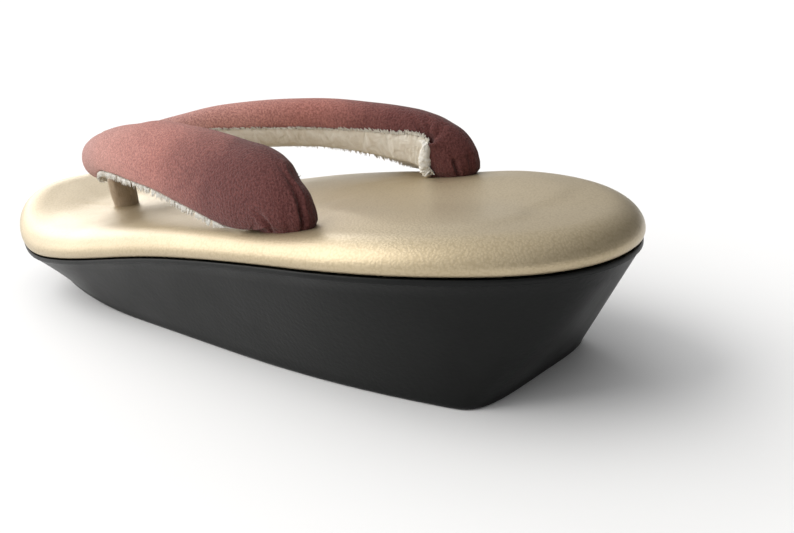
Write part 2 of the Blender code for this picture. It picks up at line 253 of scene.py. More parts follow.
@dataclass(frozen=True)
class Hollow:
    """Soft oval dent, or a swelling where its depth is negative."""

    x: float
    y: float
    length: float
    width: float
    depth: float

    def sink(self, x: float, y: float) -> float:
        """Depth of the dent at a place."""
        reach = math.hypot((x - self.x) / self.length, (y - self.y) / self.width)
        return self.depth * math.cos(min(reach, 1.0) * math.pi / 2) ** 2


@dataclass(frozen=True)
class Crease:
    """Trough in cloth, by the places of its two ends on a flat pattern, in metres."""

    start: tuple[float, float]
    end: tuple[float, float]
    width: float
    depth: float
    fading: float = 0.85
    bank_height: float = 0.35
    bank_place: float = 1.7
    bank_steepness: float = 1.6
    reach: float = 4.0

    def sink(self, u: float, v: float) -> float:
        """Depth of the trough at a place on the pattern.

        Args:
            u: place along the pattern.
            v: place across it.

        Returns:
            Depth in metres, with a low ridge on both banks as a negative depth.
        """
        ax, ay = self.start
        dx, dy = self.end[0] - ax, self.end[1] - ay
        share = ((u - ax) * dx + (v - ay) * dy) / max(dx * dx + dy * dy, 1e-12)
        held = min(max(share, 0.0), 1.0)
        gap = math.hypot(u - ax - dx * held, v - ay - dy * held) / self.width
        if gap > self.reach:
            return 0.0
        fade = 1 - self.fading * ease(held)
        bank = self.bank_height * math.exp(-((gap - self.bank_place) ** 2) * self.bank_steepness)
        return self.depth * fade * (math.exp(-gap * gap) - bank)


# Hand tools


class Workbench:
    """Hand tools: every piece is drawn out of a primitive's edge and shaped in edit mode."""

    WELD = 0.000002

    @staticmethod
    def clear() -> None:
        """Deselect everything, so that an operator acts on the new piece alone."""
        if bpy.context.mode != "OBJECT":
            bpy.ops.object.mode_set(mode="OBJECT")
        bpy.ops.object.select_all(action="DESELECT")

    @staticmethod
    def take(obj: bpy.types.Object) -> None:
        """Select one object alone and make it active."""
        Workbench.clear()
        obj.select_set(True)
        bpy.context.view_layer.objects.active = obj

    @staticmethod
    def draw_out(name: str, rings: Sequence[Ring], caps: tuple[bool, bool]) -> bpy.types.Object:
        """Extrude a ring of points ring by ring.

        Args:
            name: name of the piece.
            rings: places of the points, all rings with the same number of them.
            caps: whether the first and the last ring are filled.

        Returns:
            The piece, with a whole-number place of each point in its ring and along the piece.
        """
        Workbench.clear()
        bpy.ops.mesh.primitive_circle_add(vertices=len(rings[0]), radius=0.01, fill_type="NOTHING")
        obj = bpy.context.active_object
        obj.name = obj.data.name = name
        bpy.ops.object.mode_set(mode="EDIT")
        bm = bmesh.from_edit_mesh(obj.data)
        place = bm.verts.layers.int.new("place")
        bm.verts.layers.int.new("row")
        bm.verts.ensure_lookup_table()
        for i, vert in enumerate(bm.verts):
            vert[place] = i
            vert.co = rings[0][i]
        bmesh.update_edit_mesh(obj.data)
        bpy.ops.mesh.select_all(action="SELECT")
        if caps[0]:
            bpy.ops.mesh.edge_face_add()
            bpy.ops.mesh.select_all(action="DESELECT")
            bm = bmesh.from_edit_mesh(obj.data)
            for edge in bm.edges:
                edge.select = True
            bm.select_flush_mode()
        for number, ring in enumerate(rings[1:], 1):
            bpy.ops.mesh.extrude_edges_move()
            bm = bmesh.from_edit_mesh(obj.data)
            place = bm.verts.layers.int["place"]
            row = bm.verts.layers.int["row"]
            for vert in bm.verts:
                if vert.select:
                    vert.co = ring[vert[place]]
                    vert[row] = number
            bmesh.update_edit_mesh(obj.data)
        if caps[1]:
            bpy.ops.mesh.edge_face_add()
        bpy.ops.mesh.select_all(action="SELECT")
        bpy.ops.mesh.remove_doubles(threshold=Workbench.WELD)
        bpy.ops.mesh.normals_make_consistent(inside=False)
        bpy.ops.object.mode_set(mode="OBJECT")
        return obj

    @staticmethod
    def pattern(obj: bpy.types.Object, along: Sequence[float], around: float, count: int) -> None:
        """Give a drawn-out piece a UV map in metres, as its cloth lies flat.

        Args:
            obj: the piece.
            along: distance of each ring along the piece.
            around: length of a ring.
            count: points in a ring.
        """
        Workbench.take(obj)
        bpy.ops.object.mode_set(mode="EDIT")
        bm = bmesh.from_edit_mesh(obj.data)
        place = bm.verts.layers.int["place"]
        row = bm.verts.layers.int["row"]
        uv = bm.loops.layers.uv.get("pattern") or bm.loops.layers.uv.new("pattern")
        for face in bm.faces:
            wraps = max(v[place] for v in face.verts) - min(v[place] for v in face.verts) > count / 2
            for loop in face.loops:
                turn = loop.vert[place] + (count if wraps and loop.vert[place] < count / 2 else 0)
                loop[uv].uv = (along[loop.vert[row]], around * turn / count)
        bmesh.update_edit_mesh(obj.data)
        bpy.ops.object.mode_set(mode="OBJECT")

    @staticmethod
    def smooth(obj: bpy.types.Object, levels: int, angle: float = 60.0) -> None:
        """Subdivide a piece, apply it, and shade it smooth.

        Args:
            obj: the piece.
            levels: steps of subdivision.
            angle: edges sharper than this many degrees stay sharp.
        """
        Workbench.take(obj)
        if levels:
            rounder = obj.modifiers.new("rounder", "SUBSURF")
            rounder.levels = rounder.render_levels = levels
            bpy.ops.object.modifier_apply(modifier=rounder.name)
        bpy.ops.object.shade_smooth_by_angle(angle=math.radians(angle))


# Finishes


class NodeSheet:
    """A node tree being drawn, with short calls for its nodes and links."""

    def __init__(self, tree: bpy.types.NodeTree) -> None:
        """Take the tree to draw in."""
        self.tree = tree

    def add(self, kind: str, values: Optional[dict] = None, **settings: object) -> bpy.types.Node:
        """Add a node.

        Args:
            kind: the node's type.
            values: input name or number, and the value or the output socket that feeds it.
            settings: properties of the node.

        Returns:
            The node.
        """
        node = self.tree.nodes.new(kind)
        for name, value in settings.items():
            setattr(node, name, value)
        return self.fill(node, values or {})

    def fill(self, node: bpy.types.Node, values: dict) -> bpy.types.Node:
        """Set or feed inputs of a node.

        Args:
            node: the node.
            values: input name or number, and the value or the output socket that feeds it.

        Returns:
            The node.
        """
        for name, value in values.items():
            if isinstance(value, bpy.types.NodeSocket):
                self.tree.links.new(value, node.inputs[name])
            else:
                node.inputs[name].default_value = value
        return node

    def place(self) -> bpy.types.NodeSocket:
        """Place in the piece's own space, in metres."""
        return self.add("ShaderNodeTexCoord").outputs["Object"]

    def math(self, operation: str, *values: object) -> bpy.types.NodeSocket:
        """Result of a Math node on numbers or sockets."""
        return self.add("ShaderNodeMath", dict(enumerate(values)), operation=operation).outputs[0]

    def noise(self, place: bpy.types.NodeSocket, scale: object, **more: float) -> bpy.types.Node:
        """Noise texture on a place, with more of its numbers by name."""
        values = {name.title(): value for name, value in more.items()}
        return self.add("ShaderNodeTexNoise", {"Vector": place, "Scale": scale, **values})

    def cells(self, place: bpy.types.NodeSocket, scale: object) -> bpy.types.Node:
        """Voronoi texture on a place."""
        return self.add("ShaderNodeTexVoronoi", {"Vector": place, "Scale": scale}, feature="F1")

    def use(self, tree: bpy.types.NodeTree, place: bpy.types.NodeSocket, **values: float) -> bpy.types.Node:
        """Shared effect on a place, with its own numbers by name."""
        return self.add("ShaderNodeGroup", {"Vector": place, **values}, node_tree=tree)

    def bump(self, height: bpy.types.NodeSocket, distance: float) -> bpy.types.NodeSocket:
        """Normal of a surface raised by a height, where 1 stands this many metres high."""
        return self.add("ShaderNodeBump", {"Height": height, "Distance": distance}).outputs[0]

    def blend(self, share: object, first: object, second: object, mode: str = "MIX") -> bpy.types.NodeSocket:
        """Blend two colours.

        Args:
            share: share of the second colour.
            first: first colour, or its socket.
            second: second colour, or its socket.
            mode: how they are blended.

        Returns:
            The blended colour.
        """
        ends = [end if isinstance(end, bpy.types.NodeSocket) else (*end, 1.0) for end in (first, second)]
        values = {0: share, 6: ends[0], 7: ends[1]}
        return self.add("ShaderNodeMix", values, data_type="RGBA", blend_type=mode).outputs[2]

    def span(self, value: bpy.types.NodeSocket, low: float, high: float, to_low: float, to_high: float
             ) -> bpy.types.NodeSocket:
        """Value moved from one range to another.

        Args:
            value: the value.
            low: lower end of its range.
            high: upper end of its range.
            to_low: what low becomes.
            to_high: what high becomes.

        Returns:
            The moved value, held inside its new range.
        """
        ends = {"Value": value, "From Min": low, "From Max": high, "To Min": to_low, "To Max": to_high}
        return self.add("ShaderNodeMapRange", ends).outputs[0]

    def ramp(self, value: bpy.types.NodeSocket, stops: Sequence[tuple[float, Colour]]
             ) -> bpy.types.NodeSocket:
        """Colour along a row of colours.

        Args:
            value: place along the row.
            stops: place and colour of each.

        Returns:
            The colour.
        """
        node = self.add("ShaderNodeValToRGB", {"Fac": value})
        marks = node.color_ramp.elements
        while len(marks) < len(stops):
            marks.new(0.5)
        for mark, (at, colour) in zip(marks, stops):
            mark.position = at
            mark.color = (*colour, 1.0)
        return node.outputs[0]


def effect(name: str, inputs: dict[str, float], outputs: Iterable[str]
           ) -> tuple[NodeSheet, bpy.types.Node, bpy.types.Node]:
    """Start a shader node group with a Vector input.

    Args:
        name: name of the group.
        inputs: name and value of each number it takes.
        outputs: names of the numbers it gives.

    Returns:
        The sheet, the group's input node and its output node.
    """
    tree = bpy.data.node_groups.new(name, "ShaderNodeTree")
    tree.interface.new_socket(name="Vector", in_out="INPUT", socket_type="NodeSocketVector")
    for label, value in inputs.items():
        socket = tree.interface.new_socket(name=label, in_out="INPUT", socket_type="NodeSocketFloat")
        socket.default_value = value
    for label in outputs:
        tree.interface.new_socket(name=label, in_out="OUTPUT", socket_type="NodeSocketFloat")
    sheet = NodeSheet(tree)
    return sheet, sheet.add("NodeGroupInput"), sheet.add("NodeGroupOutput")


class Effects:
    """Node groups that the finishes share."""

    def __init__(self) -> None:
        """Build each group once."""
        self.grain = self.make_grain()
        self.crepe = self.make_crepe()
        self.pile = self.make_pile()
        self.handling = self.make_handling()

    @staticmethod
    def make_grain() -> bpy.types.NodeTree:
        """Fine leather grain: small rounded cells with shallow valleys.

        Returns:
            The group.
        """
        sheet, take, give = effect("fine_grain", {"Cells": 1500.0, "Unevenness": 0.5}, ("Height", "Valleys"))
        place = take.outputs["Vector"]
        bend = sheet.noise(place, 420.0, detail=2.0)
        push = sheet.add("ShaderNodeVectorMath", {0: bend.outputs["Color"], 3: 0.0010}, operation="SCALE")
        moved = sheet.add("ShaderNodeVectorMath", {0: place, 1: push.outputs[0]}, operation="ADD")
        cells = sheet.cells(moved.outputs[0], take.outputs["Cells"])
        soft = sheet.noise(place, 900.0, detail=3.0)
        uneven = sheet.math("MULTIPLY", soft.outputs["Fac"], take.outputs["Unevenness"])
        dome = sheet.span(cells.outputs["Distance"], 0.0, 0.75, 1.0, 0.0)
        valleys = sheet.span(cells.outputs["Distance"], 0.45, 0.8, 0.0, 1.0)
        sheet.fill(give, {"Height": sheet.math("ADD", dome, uneven), "Valleys": valleys})
        return sheet.tree

    @staticmethod
    def make_crepe() -> bpy.types.NodeTree:
        """Crepe cloth: crinkled pebbles over a fine slanted weave.

        Returns:
            The group.
        """
        inputs = {"Pebbles": 1750.0, "Threads": 2600.0}
        sheet, take, give = effect("crinkled_weave", inputs, ("Height", "Mottle"))
        place = take.outputs["Vector"]
        drawn = sheet.add("ShaderNodeMapping", {"Vector": place, "Rotation": (0.5, 0.3, 0.7),
                                                "Scale": (0.8, 1.25, 1.0)})
        pebbles = sheet.noise(drawn.outputs[0], take.outputs["Pebbles"], detail=2.0, roughness=0.6,
                              distortion=0.5)
        slant = sheet.add("ShaderNodeMapping", {"Vector": place, "Rotation": (0.0, 0.0, 0.6)})
        threads = sheet.math("DIVIDE", take.outputs["Threads"], math.tau)
        waves = []
        for turned in ("X", "Y"):
            values = {"Vector": slant.outputs[0], "Scale": threads, "Distortion": 1.5, "Detail": 1.0,
                      "Detail Scale": 0.5}
            wave = sheet.add("ShaderNodeTexWave", values, wave_type="BANDS", bands_direction=turned)
            waves.append(wave.outputs["Fac"])
        weave = sheet.math("MULTIPLY", waves[0], waves[1])
        # The crinkle's rise, which the strap also uses to paint shade in its low places.
        crinkle = sheet.span(pebbles.outputs["Fac"], 0.36, 0.64, 0.0, 1.0)
        sheet.fill(give, {"Height": sheet.math("MULTIPLY_ADD", weave, 0.35, crinkle), "Mottle": crinkle})
        return sheet.tree

    @staticmethod
    def make_pile() -> bpy.types.NodeTree:
        """Short velvet pile: fine hairs with soft dents brushed into them.

        Returns:
            The group.
        """
        sheet, take, give = effect("soft_pile", {"Hairs": 3200.0, "Dents": 260.0}, ("Height", "Shade"))
        place = take.outputs["Vector"]
        hairs = sheet.noise(place, take.outputs["Hairs"], detail=3.0, roughness=0.7)
        dents = sheet.noise(place, take.outputs["Dents"], detail=2.0, distortion=0.8)
        brushed = sheet.span(dents.outputs["Fac"], 0.35, 0.65, 0.0, 1.0)
        height = sheet.math("MULTIPLY_ADD", brushed, 0.8, hairs.outputs["Fac"])
        sheet.fill(give, {"Height": height, "Shade": brushed})
        return sheet.tree

    @staticmethod
    def make_handling() -> bpy.types.NodeTree:
        """Marks of handling: broad cloudy smears and a few small specks.

        Returns:
            The group.
        """
        sheet, take, give = effect("handling", {"Clouds": 45.0, "Specks": 420.0}, ("Smears", "Specks"))
        place = take.outputs["Vector"]
        clouds = sheet.noise(place, take.outputs["Clouds"], detail=4.0, distortion=0.4)
        dots = sheet.cells(place, take.outputs["Specks"])
        chosen = sheet.add("ShaderNodeSeparateColor", {0: dots.outputs["Color"]})
        rare = sheet.math("GREATER_THAN", chosen.outputs[0], 0.985)
        near = sheet.span(dots.outputs["Distance"], 0.05, 0.13, 1.0, 0.0)
        smears = sheet.span(clouds.outputs["Fac"], 0.32, 0.68, 0.0, 1.0)
        sheet.fill(give, {"Smears": smears, "Specks": sheet.math("MULTIPLY", rare, near)})
        return sheet.tree


def new_finish(name: str) -> tuple[bpy.types.Material, NodeSheet, bpy.types.Node]:
    """Start a material.

    Args:
        name: name of the finish.

    Returns:
        The material, its sheet and its Principled shader.
    """
    material = bpy.data.materials.new(name)
    material.use_nodes = True
    return material, NodeSheet(material.node_tree), material.node_tree.nodes["Principled BSDF"]


@dataclass(frozen=True)
class BlackSatin:
    """Satin black lacquer of the block."""

    deep: Colour = (0.0016, 0.0020, 0.0019)
    worn: Colour = (0.0048, 0.0055, 0.0052)
    speck: Colour = (0.0020, 0.0020, 0.0020)
    gloss: tuple[float, float] = (0.34, 0.45)
    specular: float = 0.20
    peel_scale: float = 850.0
    peel_height: float = 0.00006

    def material(self, effects: Effects) -> bpy.types.Material:
        """Material of the finish.

        Args:
            effects: the shared node groups.

        Returns:
            The material.
        """
        made, sheet, shader = new_finish("black_satin_looks")
        place = sheet.place()
        marks = sheet.use(effects.handling, place)
        peel = sheet.noise(place, self.peel_scale, detail=2.0)
        colour = sheet.blend(marks.outputs["Smears"], self.deep, self.worn)
        sheet.fill(shader, {
            "Base Color": sheet.blend(marks.outputs["Specks"], colour, self.speck),
            "Roughness": sheet.span(marks.outputs["Smears"], 0.0, 1.0, *self.gloss),
            "Normal": sheet.bump(peel.outputs["Fac"], self.peel_height),
            "Specular IOR Level": self.specular,
        })
        return made


@dataclass(frozen=True)
class GiltLeather:
    """Champagne gilt leather cloth of the cover."""

    light: Colour = (0.530, 0.435, 0.282)
    deep: Colour = (0.410, 0.325, 0.195)
    gloss: tuple[float, float] = (0.38, 0.48)
    clouds: float = 28.0
    valley_shade: float = 0.45
    smear_shade: float = 0.35
    grain_height: float = 0.000035
    metallic: float = 0.60
    coat: float = 0.40
    coat_roughness: float = 0.38

    def material(self, effects: Effects) -> bpy.types.Material:
        """Material of the finish.

        Args:
            effects: the shared node groups.

        Returns:
            The material.
        """
        made, sheet, shader = new_finish("gilt_leather_looks")
        place = sheet.place()
        grain = sheet.use(effects.grain, place)
        marks = sheet.use(effects.handling, place, Clouds=self.clouds)
        smeared = sheet.math("MULTIPLY", marks.outputs["Smears"], self.smear_shade)
        shade = sheet.math("MULTIPLY_ADD", grain.outputs["Valleys"], self.valley_shade, smeared)
        sheet.fill(shader, {
            "Base Color": sheet.blend(shade, self.light, self.deep),
            "Roughness": sheet.span(marks.outputs["Smears"], 0.0, 1.0, *self.gloss),
            "Normal": sheet.bump(grain.outputs["Height"], self.grain_height),
            "Metallic": self.metallic,
            "Coat Weight": self.coat,
            "Coat Roughness": self.coat_roughness,
        })
        return made


@dataclass(frozen=True)
class MauveCrepe:
    """Crepe of the strap, with a dye running from salmon pink at the tip to dark mauve at the feet; the
    colour ramp also holds painted shade, darker towards the feet, and a greyer painted sheen near the tip.
    """

    reach: float = 0.139
    # Ramp from the foot (0) to the tip (1): part real dye, part painted shade darkening the feet and painted
    # sheen greying the tip.
    stops: tuple[tuple[float, Colour], ...] = (
        (0.00, (0.150, 0.052, 0.047)),
        (0.16, (0.190, 0.066, 0.059)),
        (0.36, (0.500, 0.208, 0.170)),
        (0.62, (0.620, 0.305, 0.252)),
        (1.00, (0.560, 0.335, 0.298)),
    )
    # Painted shade: tint that darkens the ramp colour in the crinkle's low places.
    hollow_painted_shade: Colour = (0.56, 0.50, 0.52)
    mottle: float = 0.9
    drift: float = 0.25
    drift_scale: float = 55.0
    crinkle_height: float = 0.00014
    roughness: float = 0.92
    specular: float = 0.18
    sheen: float = 0.16
    sheen_roughness: float = 0.45

    def material(self, effects: Effects) -> bpy.types.Material:
        """Material of the finish.

        Args:
            effects: the shared node groups.

        Returns:
            The material.
        """
        made, sheet, shader = new_finish("mauve_crepe_looks")
        flat = sheet.add("ShaderNodeUVMap", uv_map="pattern").outputs["UV"]
        run = sheet.math("ABSOLUTE", sheet.add("ShaderNodeSeparateXYZ", {0: flat}).outputs["X"])
        from_foot = sheet.math("SUBTRACT", 1.0, sheet.math("DIVIDE", run, self.reach))
        drift = sheet.noise(flat, self.drift_scale, detail=2.0)
        strayed = sheet.math("SUBTRACT", drift.outputs["Fac"], 0.5)
        # Colour along the strap: dye with painted shade towards the feet and painted sheen near the tip.
        dye_and_painted_shade = sheet.ramp(sheet.math("MULTIPLY_ADD", strayed, self.drift, from_foot), self.stops)
        # Painted shade in the crinkle's hollows: the ramp colour darkened, back to full only where the
        # crinkle rises.
        dark = sheet.blend(1.0, dye_and_painted_shade, self.hollow_painted_shade, "MULTIPLY")
        weave = sheet.use(effects.crepe, sheet.place())
        raised = sheet.math("MULTIPLY", weave.outputs["Mottle"], self.mottle)
        sheet.fill(shader, {
            "Base Color": sheet.blend(raised, dark, dye_and_painted_shade),
            "Normal": sheet.bump(weave.outputs["Height"], self.crinkle_height),
            "Roughness": self.roughness,
            "Specular IOR Level": self.specular,
            "Sheen Weight": self.sheen,
            "Sheen Roughness": self.sheen_roughness,
        })
        return made


@dataclass(frozen=True)
class WhiteVelvet:
    """White velvet of the strap's underside, its colour painted darker and warmer as shade; a lighter copy
    paints light on the lit edges.
    """

    name: str = "velvet_painted_shade_looks"
    # Painted shade: the sheet's colours are darker and warmer than the lit copy for the edges.
    light: Colour = (0.85, 0.80, 0.70)
    deep: Colour = (0.63, 0.54, 0.41)
    dent_shade: float = 0.55
    pile_height: float = 0.00030
    specular: float = 0.10
    sheen: float = 0.55
    sheen_roughness: float = 0.40

    def material(self, effects: Effects) -> bpy.types.Material:
        """Material of the finish.

        Args:
            effects: the shared node groups.

        Returns:
            The material.
        """
        made, sheet, shader = new_finish(self.name)
        pile = sheet.use(effects.pile, sheet.place())
        shade = sheet.math("MULTIPLY", pile.outputs["Shade"], self.dent_shade)
        sheet.fill(shader, {
            "Base Color": sheet.blend(shade, self.light, self.deep),
            "Normal": sheet.bump(pile.outputs["Height"], self.pile_height),
            "Roughness": 1.0,
            "Specular IOR Level": self.specular,
            "Sheen Weight": self.sheen,
            "Sheen Roughness": self.sheen_roughness,
        })
        return made


@dataclass(frozen=True)
class ThongCloth:
    """Soft beige cloth of the toe thong."""

    light: Colour = (0.47, 0.37, 0.26)
    deep: Colour = (0.36, 0.27, 0.18)
    dents: float = 420.0
    pebbles: float = 1900.0
    dent_shade: float = 0.6
    pile_share: float = 0.3
    weave_height: float = 0.00007
    roughness: float = 0.95
    specular: float = 0.15
    sheen: float = 0.30

    def material(self, effects: Effects) -> bpy.types.Material:
        """Material of the finish.

        Args:
            effects: the shared node groups.

        Returns:
            The material.
        """
        made, sheet, shader = new_finish("thong_cloth_looks")
        place = sheet.place()
        pile = sheet.use(effects.pile, place, Dents=self.dents)
        weave = sheet.use(effects.crepe, place, Pebbles=self.pebbles)
        shade = sheet.math("MULTIPLY", pile.outputs["Shade"], self.dent_shade)
        height = sheet.math("MULTIPLY_ADD", pile.outputs["Height"], self.pile_share, weave.outputs["Height"])
        sheet.fill(shader, {
            "Base Color": sheet.blend(shade, self.light, self.deep),
            "Normal": sheet.bump(height, self.weave_height),
            "Roughness": self.roughness,
            "Specular IOR Level": self.specular,
            "Sheen Weight": self.sheen,
        })
        return made


def dress(obj: bpy.types.Object, material: bpy.types.Material, replaces: Sequence[str] = ()
          ) -> None:
    """Give a piece its finish and its place in the frame.

    Args:
        obj: the piece.
        material: its finish.
        replaces: nodes that it stands for.
    """
    obj.data.materials.clear()
    obj.data.materials.append(material)
    for polygon in obj.data.polygons:
        polygon.material_index = 0
    if replaces:
        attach(obj, "root")
        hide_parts(*replaces)
    LOG.info("%s: %d faces", obj.name, len(obj.data.polygons))


# Pieces


@dataclass
class Block:
    """One-piece black block with slanted walls, a narrow lip under the cover and a soft edge below."""

    shape: BlockShape = BlockShape()
    steps: int = 110
    sole_edge: float = 0.0014
    lip_height: float = 0.0016
    lip_step: float = 0.0005
    edge_steps: int = 4
    wall_steps: int = 10
    lip_round: float = 0.00018
    sole_shares: tuple[float, ...] = (0.0, 0.5, 0.96)
    top_edge: float = 0.004
    top_shares: tuple[float, ...] = (0.6, 0.0)
    finish: BlackSatin = BlackSatin()

    def rings(self) -> list[Ring]:
        """Rings of the block.

        Returns:
            The rings, from the middle of its underside over the wall and the lip to its top.
        """
        shape, count = self.shape, self.steps
        foot = shape.tread_ring(self.sole_edge, 0.0, count)
        rings = [shape.inner_ring(foot, share, lambda x, y: shape.sole_height(x))
                 for share in self.sole_shares]
        for step in range(self.edge_steps + 1):
            turn = math.pi / 2 * step / self.edge_steps
            rings.append(shape.tread_ring(self.sole_edge * (1 - math.sin(turn)),
                                          self.sole_edge * (1 - math.cos(turn)), count))
        wall_foot = rings[-1]
        wall_head = shape.rim_ring(self.lip_step, self.below_rim(self.lip_height), count)
        for step in range(1, self.wall_steps + 1):
            share = step / self.wall_steps
            rings.append([a.lerp(b, share) for a, b in zip(wall_foot, wall_head)])
        soft = self.lip_round
        lip = self.lip_height
        for inset, drop in ((self.lip_step * 0.5, lip - soft), (soft, lip - soft), (0.0, lip - 2 * soft),
                            (0.0, 2 * soft), (soft, 0.0), (self.top_edge, 0.0)):
            rings.append(shape.rim_ring(inset, self.below_rim(drop), count))
        top = rings[-1]
        rings += [shape.inner_ring(top, share, self.below_rim(0.0)) for share in self.top_shares]
        return rings

    def below_rim(self, drop: float) -> Callable[[float, float], float]:
        """Height function of a ring that lies below the rim.

        Args:
            drop: how far below.

        Returns:
            Height as a function of x and y.
        """
        return lambda x, y: self.shape.rim_height(x) - drop

    def build(self, effects: Effects) -> bpy.types.Object:
        """Make the block and dress it.

        Args:
            effects: the shared node groups.

        Returns:
            The block.
        """
        block = Workbench.draw_out("satin_block", self.rings(), (False, False))
        Workbench.smooth(block, levels=0, angle=50.0)
        dress(block, self.finish.material(effects), ("body",))
        return block


@dataclass
class PaddedCover:
    """Sponge pad covered in gilt leather cloth, rolled over the edge and dished at the heel."""

    shape: BlockShape = BlockShape()
    gap: float = 0.0003
    thickness: float = 0.0074
    roll: float = 0.0086
    tuck: float = 0.0016
    overhang: float = 0.0005
    crown: float = 0.0006
    dish: Hollow = Hollow(-0.068, 0.0, 0.050, 0.030, 0.0016)
    dents: tuple[Hollow, ...] = (
        Hollow(-0.0445, 0.0325, 0.0240, 0.0160, 0.0007),
        Hollow(-0.0445, -0.0325, 0.0240, 0.0160, 0.0007),
        Hollow(0.0810, 0.0, 0.0110, 0.0100, 0.0005),
    )
    folds: tuple[Crease, ...] = (
        Crease((-0.0330, 0.0140), (-0.0340, -0.0100), 0.0022, 0.00022),
        Crease((-0.0420, 0.0180), (-0.0520, 0.0060), 0.0020, 0.00016),
        Crease((-0.0330, -0.0190), (-0.0250, -0.0040), 0.0022, 0.00018),
        Crease((0.0860, 0.0060), (0.0980, 0.0140), 0.0018, 0.00014),
        Crease((0.0860, -0.0060), (0.0990, -0.0120), 0.0018, 0.00014),
    )
    pin_reach: float = 0.0160
    edge_hold: float = 0.45
    hole_hold: float = 0.55
    hold_fade: float = 0.45
    swelling: float = 0.0004
    smoothing: int = 14
    frames: int = 20
    leather_mass: float = 0.25
    stiffness: float = 25.0
    bending: float = 2.0
    pressure: float = 4.0
    under_shares: tuple[float, ...] = (0.0, 0.35, 0.7, 0.93)
    steps: int = 120
    roll_steps: int = 8
    top_rings: int = 22
    finish: GiltLeather = GiltLeather()

    def top(self, x: float, y: float) -> float:
        """Height of the cover's plain upper face, as in the solid."""
        across = min(abs(y) / (self.shape.width / 2), 1.0)
        return self.under(x, y) + self.thickness + self.crown * (1 - across ** 2) - self.dish.sink(x, y)

    def dressed_top(self, x: float, y: float) -> float:
        """Height of the upper face with the dents where the straps enter, and its faint folds."""
        sunk = sum(dent.sink(x, y) for dent in self.dents) + sum(fold.sink(x, y) for fold in self.folds)
        return self.top(x, y) - sunk

    def under(self, x: float, y: float) -> float:
        """Height of its underside."""
        return self.shape.rim_height(x) + self.gap

    def rings(self) -> list[Ring]:
        """Rings of the cover.

        Returns:
            The rings, from the middle of its underside over the roll to the middle of its top.
        """
        base = self.shape.rim_ring(0.0, self.under, self.steps)
        rings = [self.shape.inner_ring(base, share, self.under) for share in self.under_shares]
        rings.append(base)
        for step in range(self.roll_steps + 1):
            turn = math.pi / 2 * step / self.roll_steps
            inset = self.roll * (1 - math.cos(turn)) - self.overhang
            rings.append(self.shape.rim_ring(inset, self.rolled(math.sin(turn)), self.steps))
        crest = rings[-1]
        for step in range(1, self.top_rings + 1):
            rings.append(self.shape.inner_ring(crest, 1 - step / self.top_rings, self.dressed_top))
        return rings

    def rolled(self, rise: float) -> Callable[[float, float], float]:
        """Height function of one ring of the roll.

        Args:
            rise: share of the roll's height.

        Returns:
            Height as a function of x and y.
        """
        def height(x: float, y: float) -> float:
            """Height at x and y."""
            low = self.under(x, y) + self.tuck
            return low + (self.dressed_top(x, y) - low) * rise

        return height

    def build(self, effects: Effects) -> bpy.types.Object:
        """Make the cover and dress it.

        Args:
            effects: the shared node groups.

        Returns:
            The cover.
        """
        cover = Workbench.draw_out("padded_cover", self.rings(), (False, False))
        self.swell(cover)
        Workbench.smooth(cover, levels=1, angle=70.0)
        dress(cover, self.finish.material(effects), ("cover",))
        return cover

    def pinned(self, place: Vector) -> float:
        """How firmly the leather is held.

        Args:
            place: a place on the cover.

        Returns:
            1 under the edge and at the strap's holes, 0 on the open top.
        """
        level = (place.z - self.under(place.x, place.y)) / self.thickness
        edge = 1 - ease((level - self.edge_hold) / self.hold_fade)
        gaps = [math.hypot(place.x - dent.x, place.y - dent.y) / self.pin_reach for dent in self.dents]
        return max(edge, *(1 - ease((gap - self.hole_hold) / self.hold_fade) for gap in gaps))

    def swell(self, cover: bpy.types.Object) -> None:
        """Let the sponge swell a little under the leather, by a cloth simulation that is applied at once.

        Args:
            cover: the cover.
        """
        Workbench.take(cover)
        points = cover.data.vertices
        rest = [v.co.copy() for v in points]
        held = cover.vertex_groups.new(name="held")
        for vert in points:
            held.add([vert.index], self.pinned(vert.co), "REPLACE")
        cloth = cover.modifiers.new("leather", "CLOTH")
        cloth.settings.vertex_group_mass = held.name
        cloth.settings.quality = 5
        cloth.settings.mass = self.leather_mass
        cloth.settings.tension_stiffness = cloth.settings.compression_stiffness = self.stiffness
        cloth.settings.bending_stiffness = self.bending
        cloth.settings.use_pressure = True
        cloth.settings.uniform_pressure_force = self.pressure
        cloth.settings.effector_weights.gravity = 0.0
        cloth.collision_settings.use_collision = False
        cloth.point_cache.frame_start, cloth.point_cache.frame_end = 1, self.frames
        for number in range(1, self.frames + 1):
            bpy.context.scene.frame_set(number)
        bpy.ops.object.modifier_apply(modifier=cloth.name)
        bpy.context.scene.frame_set(1)
        lifts = [vert.co.z - place.z for vert, place in zip(points, rest)]
        near = self.neighbours(cover)
        for _ in range(self.smoothing):
            lifts = [(lift + sum(lifts[j] for j in around)) / (1 + len(around))
                     for lift, around in zip(lifts, near)]
        for vert, place, lift in zip(points, rest, lifts):
            free = 1 - self.pinned(place)
            vert.co = place + Vector((0.0, 0.0, min(max(lift, 0.0), self.swelling) * free))
        cover.vertex_groups.clear()

    @staticmethod
    def neighbours(cover: bpy.types.Object) -> list[list[int]]:
        """Find the neighbours of each point.

        Args:
            cover: the cover.

        Returns:
            For each point, the points joined to it by an edge.
        """
        near: list[list[int]] = [[] for _ in cover.data.vertices]
        for edge in cover.data.edges:
            a, b = edge.vertices
            near[a].append(b)
            near[b].append(a)
        return near


